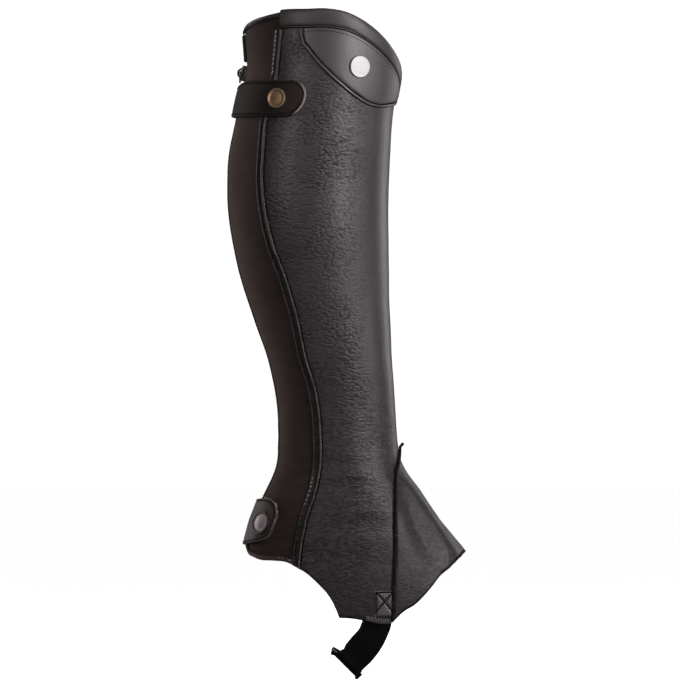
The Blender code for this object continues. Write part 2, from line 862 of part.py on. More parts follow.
def facing(degrees, height, out):
    """A place on the skin whose Z points straight out of it."""
    turn = leg_normal(degrees, height).to_track_quat("Z", "Y").to_matrix().to_4x4()
    return Matrix.Translation(skin(degrees, height, out) * MM) @ turn


def turned_cap(name, profile, size, place, finish, group):
    """A round cap turned about its own Z from a profile that runs down its outer side."""
    mesh = bpy.data.meshes.new(name)
    points = [(out * size["radius"] * MM, 0.0, up * size["high"] * MM) for out, up in profile]
    mesh.from_pydata(points, [(k, k + 1) for k in range(len(points) - 1)], [])
    made = add_object(name, mesh, finish, group)
    turn = made.modifiers.new("turn", "SCREW")
    turn.steps = turn.render_steps = CAP_SEGMENTS
    turn.use_merge_vertices = True
    turn.merge_threshold = 0.00001
    made.matrix_world = place


def caps(group):
    on_tab = TAB_LEATHER + LAY_GAP
    out = LAY_GAP + UPPER_TAB["lift"] + on_tab
    place = facing(UPPER_SNAP["degrees"], UPPER_SNAP["height"], out)
    turned_cap("upper_snap", DOMED_CAP, SNAP_CAP, place, "brass", group)
    along, height = LOWER_SNAP["along"], LOWER_SNAP["height"]
    place = facing(degrees_along(along, height), height, tab_lift(LOWER_TAB, along) + on_tab)
    turned_cap("lower_snap", DOMED_CAP, SNAP_CAP, place, "gunmetal", group)
    place = facing(STUD["degrees"], STUD["height"], 2 * LAY_GAP + OVERLAY)
    turned_cap("knee_stud", FLAT_CAP, STUD, place, "silver", group)


# The welts and the strap

def welts(group):
    """The raised seams of the gusset, which meet at the apex and end there in a short stub."""
    for name, side in (("welt_outer", 1), ("welt_inner", -1)):
        line = [skin(side * WELT["start_degrees"], APEX - WELT["start_drop"], WELT["out"])]
        if side > 0:
            line.insert(0, line[0] + (leg_normal(0.0, APEX) + Vector((0, 0, 1))) * WELT["stub"])
        for share in lower_shares()[1:]:
            height = APEX
            for _ in range(SETTLING_ROUNDS):
                degrees = GUSSET_DEGREES(height)
                height = APEX + (hem_height(degrees) + WELT["past_hem"] - APEX) * share
            line.append(skin(side * degrees, height, WELT["out"]))
        wire(name, line, WELT["radius"], "leather", group)


def strap_outer_side():
    """Rows of points down the strap's outer side, its back edge first, and the direction across it."""
    centre = [Vector((x, 0.0, z)) for x, z, _ in STRAP_LINE]
    last_across = Vector((1.0, 0.0, -1.0)).normalized()
    rows = []
    for k, (x, z, wide) in enumerate(STRAP_LINE):
        ahead = centre[min(k + 1, len(centre) - 1)] - centre[max(k - 1, 0)]
        across = Vector((-ahead.z, 0.0, ahead.x)).normalized()
        share = k / (len(STRAP_LINE) - 1)
        across = across.lerp(last_across, share**2).normalized()
        inward = eased((share - STRAP_LEAVES_HEM) / (1 - STRAP_LEAVES_HEM))
        row = []
        for place in even(STRAP_ACROSS):
            point = centre[k] + across * wide * (place - 0.5)
            lying = skin(outer_degrees(point.x, point.z), point.z, -(LEATHER + LAY_GAP)).y
            point.y = lying + (-STRAP_HALF_SPAN - lying) * inward
            row.append(point)
        rows.append(row)
    return rows, last_across


def foot_strap(group):
    """The elastic strap under the foot, from inside one side of the hem to inside the other."""
    rows, across = strap_outer_side()
    down = Vector((-1.0, 0.0, -1.0)).normalized()
    across_the_foot = Vector((0.0, 1.0, 0.0))
    wide = STRAP_LINE[-1][-1]
    last = sum(rows[-1], Vector()) / len(rows[-1])
    centre = last + across_the_foot * STRAP_TURN
    for turn in STRAP_TURN_DEGREES:
        swing = math.radians(turn)
        swung = down * math.sin(swing) - across_the_foot * math.cos(swing)
        middle = centre + swung * STRAP_TURN
        rows.append([middle + across * wide * (place - 0.5) for place in even(STRAP_ACROSS)])
    mirrored = [[Vector((p.x, -p.y, p.z)) for p in row] for row in reversed(rows)]
    return sheet("foot_strap", (rows + mirrored,), WEBBING, "webbing", group)


def main():
    for old in list(bpy.data.objects):
        bpy.data.objects.remove(old)
    group = collection()
    main_panel(group)
    stretch_panel(group)
    instep_gusset(group)
    bindings(group)
    seam_strip(group)
    knee_patch(group)
    notch_facings(group)
    zip_pieces(group)
    zip_slider(group)
    zip_pull(group)
    closing_tab("upper_tab", UPPER_TAB, group)
    closing_tab("lower_tab", LOWER_TAB, group)
    caps(group)
    welts(group)
    foot_strap(group)


main()
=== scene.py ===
import json
import math

import bpy
import numpy as np
from mathutils import Matrix, Vector


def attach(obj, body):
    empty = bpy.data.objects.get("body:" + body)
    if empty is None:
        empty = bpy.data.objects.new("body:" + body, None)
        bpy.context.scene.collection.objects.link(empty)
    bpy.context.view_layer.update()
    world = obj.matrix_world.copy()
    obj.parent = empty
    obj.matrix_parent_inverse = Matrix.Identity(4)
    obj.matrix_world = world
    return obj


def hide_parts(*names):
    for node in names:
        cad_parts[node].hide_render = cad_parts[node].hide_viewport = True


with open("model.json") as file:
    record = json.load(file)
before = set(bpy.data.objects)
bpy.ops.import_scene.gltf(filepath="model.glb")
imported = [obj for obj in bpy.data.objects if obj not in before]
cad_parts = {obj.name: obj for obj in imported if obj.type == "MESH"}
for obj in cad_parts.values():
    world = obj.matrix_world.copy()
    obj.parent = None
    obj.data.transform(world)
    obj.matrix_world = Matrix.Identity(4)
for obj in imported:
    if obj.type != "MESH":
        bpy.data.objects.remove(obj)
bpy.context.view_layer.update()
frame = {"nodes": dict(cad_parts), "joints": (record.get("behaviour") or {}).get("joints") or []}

# A half chap in black leather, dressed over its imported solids.
# +Z up the leg, +X to the toe, -Y to the outer side. Lengths are millimetres until a mesh is made.
mm = 0.001
print("frame loaded:", len(frame["nodes"]), "solids")


# ---- the leg's form, the same as the solids' ----

# height, back, widest, front, width
legSections = [
    (150.0, -49.6, 9.6, 72.6, 112.0),
    (120.0, -48.8, 9.2, 72.4, 112.6),
    (104.0, -47.6, 8.3, 72.1, 113.4),
    (91.6, -47.2, 7.3, 71.8, 114.0),
    (74.7, -49.6, 5.8, 69.7, 115.0),
    (61.6, -52.7, 4.2, 67.0, 115.5),
    (49.3, -55.4, 3.5, 65.5, 115.5),
    (28.5, -59.6, 1.9, 64.0, 115.0),
    (0.0, -61.6, 0.4, 62.8, 114.0),
    (-19.3, -61.1, 0.4, 62.5, 113.0),
    (-42.4, -57.8, 1.9, 62.5, 109.0),
    (-73.2, -50.7, 5.8, 62.9, 101.0),
    (-104.0, -40.6, 11.2, 63.9, 93.0),
    (-134.8, -30.1, 16.3, 65.4, 85.5),
    (-165.6, -23.7, 19.8, 67.4, 79.5),
    (-188.7, -22.1, 22.0, 68.7, 77.0),
    (-201.7, -22.1, 23.3, 69.8, 77.0),
    (-209.4, -22.5, 24.0, 71.3, 77.5),
    (-219.5, -24.8, 25.0, 75.9, 78.5),
    (-231.0, -29.5, 26.0, 84.0, 80.0),
    (-242.6, -34.8, 27.0, 91.7, 82.0),
    (-258.0, -41.0, 28.5, 102.1, 85.0),
    (-283.4, -47.9, 32.0, 120.5, 89.0),
    (-308.0, -53.7, 37.0, 138.0, 92.0),
    (-338.0, -58.3, 42.5, 159.0, 93.0),
    (-381.0, -61.4, 47.0, 179.0, 93.0),
]

# degrees round the leg, height of the top edge
topEdge = [
    (-180.0, 118.8), (-150.0, 97.8), (-125.0, 80.9), (-100.0, 70.0), (-75.0, 67.0), (-50.0, 68.5),
    (-30.0, 73.2), (-15.0, 79.3), (0.0, 87.0), (15.0, 97.0), (30.0, 107.8), (45.0, 118.6),
    (60.0, 127.8), (70.0, 132.4), (85.0, 135.3), (100.0, 135.0), (118.0, 134.7), (135.0, 132.0),
    (150.0, 129.2), (165.0, 125.6), (180.0, 120.2),
]

# x, height of the bottom edge: heel to corner, then corner to toe
heelHem = [
    (-49.7, -276.4), (-47.9, -278.1), (-45.8, -284.0), (-42.3, -286.4), (-38.1, -288.2),
    (-26.8, -289.1), (-16.4, -290.3), (-9.9, -293.4), (0.3, -299.8), (9.2, -308.0),
    (15.6, -315.1), (20.7, -324.0), (24.3, -333.0),
]
toeHem = [
    (24.3, -333.0), (34.8, -333.6), (45.0, -335.5), (60.4, -338.0), (64.8, -337.3), (67.4, -334.6),
    (74.3, -328.0), (83.3, -322.6), (89.7, -316.3), (97.4, -307.4), (103.1, -300.3),
    (111.4, -293.4), (119.7, -283.4), (125.1, -277.2),
]

# height, x of the stretch panel's seam
stretchSeam = [
    (140.0, -20.0), (110.1, -21.9), (80.9, -25.0), (49.3, -32.7), (22.3, -35.0), (0.8, -35.8),
    (-15.4, -34.3), (-47.7, -27.3), (-73.2, -18.1), (-97.8, -10.8), (-137.1, -1.9), (-151.7, 2.7),
    (-170.9, 6.5), (-191.0, 8.1), (-210.2, 8.5), (-233.3, 5.0), (-254.9, -1.9), (-278.0, -6.5),
    (-300.0, -8.6),
]

# height, degrees of the gusset's seams
gussetSeam = [
    (-201.7, 0.0), (-204.0, 4.5), (-209.4, 14.0), (-219.5, 31.0), (-231.0, 43.5), (-242.6, 51.0),
    (-258.0, 57.8), (-283.4, 66.2), (-308.0, 73.0), (-332.6, 78.0), (-345.0, 80.0),
]
apex = -201.7

# degrees, height, half degrees, half height, degrees a millimetre, depth
bigFolds = [
    (43.0, -272.0, 13.0, 36.0, -0.18, -3.2),
    (20.0, -262.0, 9.0, 34.0, -0.05, 0.9),
    (88.0, -232.0, 30.0, 7.5, 0.10, -0.9),
    (80.0, -262.0, 26.0, 8.0, 0.12, -0.7),
    (98.0, -286.0, 24.0, 8.5, -0.10, -0.8),
    (0.0, -286.0, 9.0, 18.0, 0.0, 2.4),
]
creases = [
    (78.0, -243.0, 13.0, 15.0, 0.0, -0.45),
    (88.0, -232.0, 30.0, 7.5, 0.10, 0.45),
    (88.0, -214.0, 24.0, 3.6, 0.35, -0.45),
    (96.0, -205.0, 20.0, 3.2, -0.40, 0.35),
    (84.0, -224.0, 22.0, 3.4, -0.30, 0.40),
    (72.0, -252.0, 18.0, 3.8, 0.50, 0.45),
    (92.0, -270.0, 22.0, 4.0, -0.35, 0.40),
    (60.0, -232.0, 10.0, 4.2, 0.60, -0.40),
    (108.0, -246.0, 16.0, 4.5, 0.45, -0.40),
    (70.0, -292.0, 14.0, 5.0, 0.30, -0.35),
    (104.0, -190.0, 26.0, 4.0, 0.20, -0.30),
    (70.0, -180.0, 26.0, 4.6, -0.25, 0.30),
    (90.0, -60.0, 30.0, 16.0, 0.15, -0.35),
    (74.0, -118.0, 24.0, 14.0, -0.15, 0.35),
    (96.0, 20.0, 20.0, 22.0, 0.10, 0.30),
    (25.0, -256.0, 8.0, 34.0, -0.03, 0.6),
    (42.0, -260.0, 6.0, 32.0, -0.10, -0.7),
    (54.0, -268.0, 6.0, 28.0, -0.12, 0.5),
    (103.0, 90.0, 6.0, 1.5, 0.0, -0.30),
    (104.0, 86.5, 6.0, 1.5, 0.3, 0.25),
    (104.0, 83.0, 6.5, 1.4, 0.0, -0.30),
    (105.0, 79.5, 6.0, 1.5, -0.3, 0.25),
]

patchLowEdge = [
    (-20.0, 63.5), (-14.0, 64.7), (0.0, 62.5), (22.0, 60.2), (36.6, 59.3), (47.0, 60.8),
    (60.0, 67.0), (72.0, 75.5), (83.0, 85.5), (90.6, 93.9), (99.0, 103.6), (103.5, 110.0),
    (105.6, 119.0),
]


def throughPoints(rows, column=1):
    # a smooth curve through a table's points, for one number or a whole array
    rows = sorted(rows)
    xs = np.array([r[0] for r in rows], float)
    ys = np.array([r[column] for r in rows], float)
    steps = np.diff(xs)
    rises = np.diff(ys) / steps
    inner = (steps[1:] * rises[:-1] + steps[:-1] * rises[1:]) / (steps[:-1] + steps[1:])
    slopes = np.concatenate([rises[:1], inner, rises[-1:]])

    def at(x):
        x = np.asarray(x, float)
        i = np.clip(np.searchsorted(xs, x, side="right") - 1, 0, len(xs) - 2)
        step = steps[i]
        t = np.clip((x - xs[i]) / step, 0, 1)
        y = ((1 + 2 * t) * (1 - t) ** 2 * ys[i] + t * (1 - t) ** 2 * step * slopes[i]
             + t * t * (3 - 2 * t) * ys[i + 1] + t * t * (t - 1) * step * slopes[i + 1])
        return y + np.minimum(x - xs[0], 0) * slopes[0] + np.maximum(x - xs[-1], 0) * slopes[-1]

    return at


backAt, widestAt, frontAt, widthAt = [throughPoints(legSections, c) for c in (1, 2, 3, 4)]
topAt = throughPoints(topEdge)
seamXAt = throughPoints(stretchSeam)
gussetAt = throughPoints(gussetSeam)
patchLowAt = throughPoints(patchLowEdge)
heelHemAt = throughPoints(heelHem)
toeHemAt = throughPoints(toeHem)


def legPoint(degrees, height):
    c, s = np.cos(np.radians(degrees)), np.sin(np.radians(degrees))
    mid = widestAt(height)
    reach = np.where(c > 0, frontAt(height) - mid, mid - backAt(height))
    return np.stack([mid + reach * c, -widthAt(height) / 2 * s, height + 0 * c], axis=-1)


def unit(vectors):
    return vectors / np.linalg.norm(vectors, axis=-1, keepdims=True)


def legNormal(degrees, height):
    around = legPoint(degrees + 0.5, height) - legPoint(degrees - 0.5, height)
    up = legPoint(degrees, height + 0.5) - legPoint(degrees, height - 0.5)
    return unit(np.cross(up, around))


lattice = np.random.default_rng(7).random((24, 24, 24)) * 2 - 1


def softNoise(points, size, shift=0.0):
    # smooth noise between -1 and 1, from a fixed lattice
    p = points / np.asarray(size, float) + shift
    low = np.floor(p).astype(int)
    f = p - low
    f = f * f * (3 - 2 * f)
    total = np.zeros(points.shape[:-1])
    for corner in np.ndindex(2, 2, 2):
        share = np.prod(np.where(corner, f, 1 - f), axis=-1)
        i, j, k = np.moveaxis((low + corner) % 24, -1, 0)
        total += share * lattice[i, j, k]
    return total


def foldsOf(rows, degrees, height):
    side = np.abs((degrees + 180.0) % 360.0 - 180.0)
    total = np.zeros(np.broadcast(degrees, height).shape)
    for middle, level, halfDegrees, halfHeight, lean, depth in rows:
        across = (side - middle - lean * (height - level)) / halfDegrees
        along = (height - level) / halfHeight
        total = total + depth * np.exp(-across * across - along * along)
    return total


# how long the swells of a worn hide are, how deep, and where they grow towards the ankle
unevenLook = {"broad": (34, 34, 22), "broadDeep": 0.30, "small": (15, 15, 8), "smallDeep": 0.10,
              "smallShift": 3.3, "ankle": 160.0, "over": 60.0, "calfShare": 0.7, "ankleMore": 0.9}


def relief(degrees, height):
    # the big folds, the ankle's creases, and the slight unevenness of a worn hide
    look, base = unevenLook, legPoint(degrees, height)
    uneven = (softNoise(base, look["broad"]) * look["broadDeep"]
              + softNoise(base, look["small"], look["smallShift"]) * look["smallDeep"])
    low = np.clip((-height - look["ankle"]) / look["over"], 0, 1)
    uneven = uneven * (look["calfShare"] + look["ankleMore"] * low)
    return foldsOf(bigFolds, degrees, height) + foldsOf(creases, degrees, height) + uneven


def skin(degrees, height, out=0.0):
    degrees, height = np.broadcast_arrays(np.asarray(degrees, float), np.asarray(height, float))
    moved = np.asarray(out + relief(degrees, height))
    return legPoint(degrees, height) + legNormal(degrees, height) * moved[..., None]


def turned(degrees, height, distance):
    # the angle a distance further round the leg
    d = np.linalg.norm(legPoint(degrees + 0.5, height) - legPoint(degrees - 0.5, height), axis=-1)
    return degrees + distance / d


def outerDegrees(x, height):
    mid = widestAt(height)
    reach = np.where(x > mid, frontAt(height) - mid, mid - backAt(height))
    return np.degrees(np.arccos(np.clip((x - mid) / reach, -1, 1)))


def hemFromSide(x):
    return np.where(x < 24.3, heelHemAt(np.minimum(x, 24.3)), toeHemAt(np.maximum(x, 24.3)))


def hemAt(degrees):
    degrees = np.asarray(degrees, float)
    inside = np.full(degrees.shape, -240.0)
    outside = np.full(degrees.shape, -345.0)
    for _ in range(28):
        middle = (inside + outside) / 2
        above = middle > hemFromSide(legPoint(degrees, middle)[..., 0])
        inside = np.where(above, middle, inside)
        outside = np.where(above, outside, middle)
    return (inside + outside) / 2


def seamLine(distance):
    return lambda height: turned(outerDegrees(seamXAt(height), height), height, distance)


def zipLine(side, distance=3.5):
    return lambda height: side * (360.0 - turned(180.0 + 0 * height, height, distance))


def gussetLine(side, distance):
    def line(height):
        there = turned(gussetAt(np.minimum(height, apex)), height, distance)
        return side * np.where(height > apex - 0.01, 0.0, there)
    return line


def fixedLine(degrees):
    return lambda height: degrees + 0 * height


cornerDegrees = float(outerDegrees(24.3, -333.0))


def across(guides, counts, height):
    # angles of every column at these heights, the columns shared out between the guide lines
    place = np.concatenate([[0.0]] + [k + np.arange(1, n + 1) / n for k, n in enumerate(counts)])
    piece = np.clip(np.ceil(place).astype(int) - 1, 0, len(counts) - 1)
    part = place - piece
    lines = np.stack([g(height) for g in guides])
    columns = np.arange(len(place))
    start = lines[piece, :, columns].T if height.ndim == 2 else lines[piece, columns]
    end = lines[piece + 1, :, columns].T if height.ndim == 2 else lines[piece + 1, columns]
    return start + (end - start) * part


def panelGrid(guides, counts, top, low, shares):
    # (degrees, height) of a panel's grid, rows going down
    shares = np.asarray(shares, float)[:, None]
    height = np.zeros((len(shares), sum(counts) + 1))
    for _ in range(14):
        degrees = across(guides, counts, height)
        height = top(degrees) + (low(degrees) - top(degrees)) * shares
    return degrees, height


def shares(count, crowding=1.0):
    return (np.arange(count + 1) / count) ** crowding


def panelTop(degrees):
    return topAt(degrees) - 1.6


def stretchTop(degrees):
    return panelTop(degrees) - 1.6


def stretchHem(degrees):
    return hemAt(degrees) + 1.8


def apexLevel(degrees):
    return apex + 0 * degrees


def belowBinding(degrees):
    return topAt(degrees) - 15.4


def smoothStep(x):
    x = np.clip(x, 0, 1)
    return x * x * (3 - 2 * x)


def degreesAlong(distance, height):
    # the angle at a distance from the back's middle towards the outer side
    degrees = np.full(np.broadcast(distance, height).shape, 180.0)
    for _ in range(40):
        degrees = turned(degrees, height, -np.asarray(distance) / 40)
    return degrees


# ---- sheets of cloth with a true thickness ----

def gaps(points, other):
    # distance of each point to the nearest of the other points
    flat, batch = points.reshape(-1, 3), 400
    parts = [flat[k:k + batch, None] for k in range(0, len(flat), batch)]
    found = [np.sqrt(((part - other[None]) ** 2).sum(-1).min(1)) for part in parts]
    return np.concatenate(found).reshape(points.shape[:-1])


def borderOf(points, sides="udlr"):
    # a dense line of points round a grid's chosen sides
    lines = {"u": points[0], "d": points[-1], "l": points[:, 0], "r": points[:, -1]}
    dense = []
    for key in sides:
        line = lines[key]
        for start, end in zip(line, line[1:]):
            steps = max(1, int(np.linalg.norm(end - start) / 0.8))
            dense += [start + (end - start) * k / steps for k in range(steps)]
        dense.append(line[-1])
    return np.array(dense)


def lengthAlong(points, axis):
    # millimetres from the first point of each line that runs along this axis
    steps = np.linalg.norm(np.diff(points, axis=axis), axis=-1)
    return np.concatenate([np.zeros_like(np.take(steps, [0], axis)), np.cumsum(steps, axis)], axis)


def lengthsOf(points):
    # millimetres along each row and down each column, for the weave
    u, v = lengthAlong(points, 1), lengthAlong(points, 0)
    middle = points.shape[1] // 2
    return u - u[:, middle:middle + 1], v


def smoothMesh(name, points, faces, material):
    # points in millimetres
    mesh = bpy.data.meshes.new(name)
    mesh.from_pydata(np.array(points) * mm, [], faces)
    mesh.shade_smooth()
    mesh.materials.append(material)
    made = bpy.data.objects.new(name, mesh)
    bpy.context.scene.collection.objects.link(made)
    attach(made, "chap")
    return made


def closedSheet(name, grids, outside, inside):
    # each grid is (outer face, inner face, distance to its edge)
    # rows go down, columns from the back over the outer side
    outer, inner, edge, quads, uvs = [], [], [], [], []
    base = 0
    for face, back, near in grids:
        rows, columns = face.shape[:2]
        u, v = lengthsOf(face)
        index = base + np.arange(rows * columns).reshape(rows, columns)
        q = np.stack([index[:-1, :-1], index[1:, :-1], index[1:, 1:], index[:-1, 1:]], axis=-1).reshape(-1, 4)
        quads.append(q)
        uvs.append(np.stack([u, v], axis=-1).reshape(-1, 2)[q - base])
        outer.append(face.reshape(-1, 3))
        inner.append(back.reshape(-1, 3))
        edge.append(np.broadcast_to(near, face.shape[:2]).reshape(-1))
        base += rows * columns
    outer, inner, edge = np.concatenate(outer), np.concatenate(inner), np.concatenate(edge)
    quads, uvs = np.concatenate(quads), np.concatenate(uvs)
    _, first, same = np.unique(np.round(outer, 2), axis=0, return_index=True, return_inverse=True)
    same = same.reshape(-1)
    outer, inner, edge, quads = outer[first], inner[first], edge[first], same[quads]
    count = len(outer)
    sides = {}
    for f, q in enumerate(quads):
        for a, b in zip(q, np.roll(q, -1)):
            if a != b:
                sides[(int(a), int(b))] = f
    faces, loops, reached = [], [], []
    for shift, way in ((0, 1), (count, -1)):  # the outer faces, then the inner ones turned about
        for q, w in zip(quads, uvs):
            keep = [k for k in range(4) if q[k] != q[k - 1]][::way]
            if len(keep) < 3:
                continue
            faces.append([int(q[k]) + shift for k in keep])
            loops += [w[k] for k in keep]
        reached.append(len(faces))
    front, rim = reached
    for (a, b), f in sides.items():
        if (b, a) not in sides:
            faces.append([b, a, a + count, b + count])
            loops += [uvs[f][0]] * 4
    made = smoothMesh(name, np.concatenate([outer, inner]), faces, outside)
    mesh = made.data
    layer = mesh.uv_layers.new(name="weave")
    layer.data.foreach_set("uv", (np.array(loops) * mm).astype(np.float32).reshape(-1))
    wear = mesh.attributes.new("edge", "FLOAT", "POINT")
    wear.data.foreach_set("value", np.concatenate([edge, edge]).astype(np.float32))
    mesh.set_sharp_from_angle(angle=math.radians(60))
    mesh.materials.append(inside)
    for f in range(front, rim):
        mesh.polygons[f].material_index = 1
    return made


def dress(piece, slotName, *nodes):
    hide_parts(*nodes)
    return piece


def roundedEdge(distance, radius):
    # how far a cut edge has fallen away, 1 at the edge and 0 from its radius inwards
    t = np.clip(1 - distance / radius, 0, 1)
    return 1 - np.sqrt(np.clip(1 - t * t, 0, 1))


def groove(distance, at, half):
    return np.exp(-((distance - at) / half) ** 2)


# ---- shader nodes ----

class Link:
    # a socket in a node tree that can stand in a plain sum
    def __init__(self, tree, socket=None):
        self.tree, self.socket = tree, socket

    def node(self, kind, settings, sockets, out=0):
        made = self.tree.nodes.new(kind)
        for key, value in settings.items():
            setattr(made, key, value)
        for key, value in sockets.items():
            if isinstance(value, Link):
                self.tree.links.new(value.socket, made.inputs[key])
            else:
                made.inputs[key].default_value = value
        return Link(self.tree, made.outputs[out])

    def math(self, operation, first, second=0.0):
        return self.node("ShaderNodeMath", {"operation": operation}, {0: first, 1: second})

    def __add__(self, other):
        return self.math("ADD", self, other)

    __radd__ = __add__

    def __sub__(self, other):
        return self.math("SUBTRACT", self, other)

    def __rsub__(self, other):
        return self.math("SUBTRACT", other, self)

    def __mul__(self, other):
        return self.math("MULTIPLY", self, other)

    __rmul__ = __mul__

    def __truediv__(self, other):
        return self.math("DIVIDE", self, other)

    def __pow__(self, other):
        return self.math("POWER", self, other)

    def between(self, low, high, start=0.0, end=1.0):
        # this value's way from low to high, eased
        return self.node("ShaderNodeMapRange", {"interpolation_type": "SMOOTHSTEP"},
                         {"Value": self, "From Min": low, "From Max": high, "To Min": start, "To Max": end})

    def mix(self, first, second):
        # two colours, by this value
        first, second = [(*c, 1) if isinstance(c, tuple) else c for c in (first, second)]
        return self.node("ShaderNodeMix", {"data_type": "RGBA"}, {0: self, 6: first, 7: second}, 2)

    def part(self, axis):
        return self.node("ShaderNodeSeparateXYZ", {}, {"Vector": self}, axis)

    def wave(self):
        # a sine between 0 and 1, once for each unit
        return self.math("SINE", self * 6.283) * 0.5 + 0.5

    def atLeast(self, low):
        return self.math("MAXIMUM", self, low)

    def atMost(self, high):
        return self.math("MINIMUM", self, high)

    def place(self, source="Object"):
        return self.node("ShaderNodeTexCoord", {}, {}, source)

    def fromEdge(self):
        # millimetres to the piece's nearest edge
        return self.node("ShaderNodeAttribute", {"attribute_name": "edge"}, {}, "Fac")

    def noise(self, at, detail, shift=(0, 0, 0), out=0, **more):
        # at is so many repeats a metre along each axis, or coordinates already made
        if isinstance(at, tuple):
            at = scaled(self, at, shift)
        return self.node("ShaderNodeTexNoise", {}, {"Vector": at, "Scale": 1.0, "Detail": detail, **more}, out)

    def bent(self, amount, at):
        # coordinates pushed about by this noise
        return self.node("ShaderNodeVectorMath", {"operation": "MULTIPLY_ADD"}, {0: self, 1: amount, 2: at})

    def bump(self, height, strength, distance):
        return self.node("ShaderNodeBump", {}, {"Strength": strength, "Distance": distance, "Height": height})


def startMaterial(name):
    made = bpy.data.materials.new(name)
    made.use_nodes = True
    tree = made.node_tree
    return made, Link(tree), tree.nodes["Principled BSDF"]


def connect(shader, tree, **sockets):
    names = {"colour": "Base Color", "roughness": "Roughness", "normal": "Normal", "metallic": "Metallic"}
    for key, value in sockets.items():
        if isinstance(value, Link):
            tree.links.new(value.socket, shader.inputs[names[key]])
        else:
            shader.inputs[names[key]].default_value = value


def scaled(make, factors, shift=(0, 0, 0), source="Object"):
    # coordinates stretched by so many repeats a metre along each axis
    at = make.place(source)
    return make.node("ShaderNodeMapping", {}, {"Vector": at, "Scale": factors, "Location": shift})


# pebble and depth are metres; wornWide, the edge darkening's width and the seams count millimetres from an edge
# a seam is its middle, half its width and the strength of the painted shade in its groove
# rim, grain, creases, front and dull are shares, and so is the edge darkening: edge paint with painted shade
# along the cut edges
leatherLook = {
    "grained": {"colour": (0.0255, 0.0225, 0.0228), "worn": (0.036, 0.032, 0.032), "rim": 0.0, "pebble": 0.0030,
                "grain": 1.0, "creases": 1.0, "roughness": 0.40, "depth": 0.00042, "front": 0.85, "dull": 0.0,
                "edgePaintAndShade": 0.85},
    "smooth": {"colour": (0.0230, 0.0203, 0.0205), "worn": (0.036, 0.032, 0.032), "rim": 0.0, "pebble": 0.0026,
               "grain": 0.18, "creases": 0.18, "roughness": 0.43, "depth": 0.00030, "front": 0.0, "dull": 0.0,
               "edgePaintAndShade": 0.75},
    "strip": {"colour": (0.0250, 0.0220, 0.0215), "worn": (0.030, 0.027, 0.026), "rim": 0.0, "pebble": 0.0026,
              "grain": 0.35, "creases": 0.55, "roughness": 0.46, "depth": 0.00036, "front": 0.0, "dull": 0.0,
              "edgePaintAndShade": 0.0, "seams": [(2.6, 1.3, 0.50), (7.35, 0.55, 0.85)]},
    "tab": {"colour": (0.0155, 0.0086, 0.0062), "worn": (0.300, 0.262, 0.235), "rim": 1.0, "wornWide": 2.1,
            "pebble": 0.0020, "grain": 0.20, "creases": 0.15, "roughness": 0.72, "depth": 0.00025, "front": 0.0,
            "dull": 0.38, "edgePaintAndShade": 0.0, "shine": 0.32, "seams": [(2.2, 0.5, 0.6)]},
    "lowTab": {"colour": (0.0390, 0.0330, 0.0270), "worn": (0.100, 0.090, 0.078), "rim": 0.9, "pebble": 0.0020,
               "grain": 0.20, "creases": 0.15, "roughness": 0.62, "depth": 0.00025, "front": 0.0, "dull": 0.12,
               "edgePaintAndShade": 0.0, "seams": [(2.2, 0.5, 0.5)]},
}
for made, fromLook, change in (
    ("gusset", "grained", {"colour": (0.0215, 0.0190, 0.0193), "grain": 0.85, "creases": 0.55, "front": 0.0,
                           "roughness": 0.42, "edgePaintAndShadeWide": 2.4}),
    ("patch", "smooth", {"colour": (0.0320, 0.0286, 0.0288), "shine": 0.62, "seams": [(2.8, 0.55, 0.8)]}),
    ("binding", "smooth", {"seams": [(1.9, 0.45, 0.7)]}),
    ("anchor", "smooth", {"shine": 1.0, "colour": (0.072, 0.064, 0.064), "edgePaintAndShade": 0.0}),
    ("welt", "smooth", {"colour": (0.0120, 0.0068, 0.0070), "grain": 1.0, "creases": 0.6, "roughness": 0.60,
                        "dull": 0.55, "edgePaintAndShade": 0.0}),
):
    leatherLook[made] = {**leatherLook[fromLook], **change}


def dulled(made, share):
    # a black that hardly shines takes the shader's place by this share; it lays the painted shade, the edge
    # paint and any blotches or even dullness
    tree = made.node_tree
    black = tree.nodes.new("ShaderNodeBsdfPrincipled")
    black.inputs["Base Color"].default_value = (0.0030, 0.0026, 0.0026, 1)
    black.inputs["Roughness"].default_value = 0.9
    black.inputs["Specular IOR Level"].default_value = 0.12
    mixer = tree.nodes.new("ShaderNodeMixShader")
    tree.links.new(share.socket, mixer.inputs[0])
    tree.links.new(tree.nodes["Principled BSDF"].outputs[0], mixer.inputs[1])
    tree.links.new(black.outputs[0], mixer.inputs[2])
    tree.links.new(mixer.outputs[0], tree.nodes["Material Output"].inputs["Surface"])


# repeats a metre, how far the noise bends them, and the heights and depths in metres where the hide changes
hideLook = {
    "bend": (120, 120, 170), "pebbleBend": (1.1, 1.1, 1.1), "creaseBend": (0.8, 0.8, 1.3),
    "creases": (135, 135, 430), "fine": (850, 850, 1100), "patches": (36, 36, 30), "clouds": (12, 12, 12),
    "cloudShift": (3, 1, 2),
    "smoothness": 0.45, "pebbleFall": 1.7, "creaseFall": 3.4, "ankle": (-0.12, -0.20), "shin": (0.034, 0.056),
    "darker": 0.85, "lighter": 1.25, "mostDull": 0.97,
}


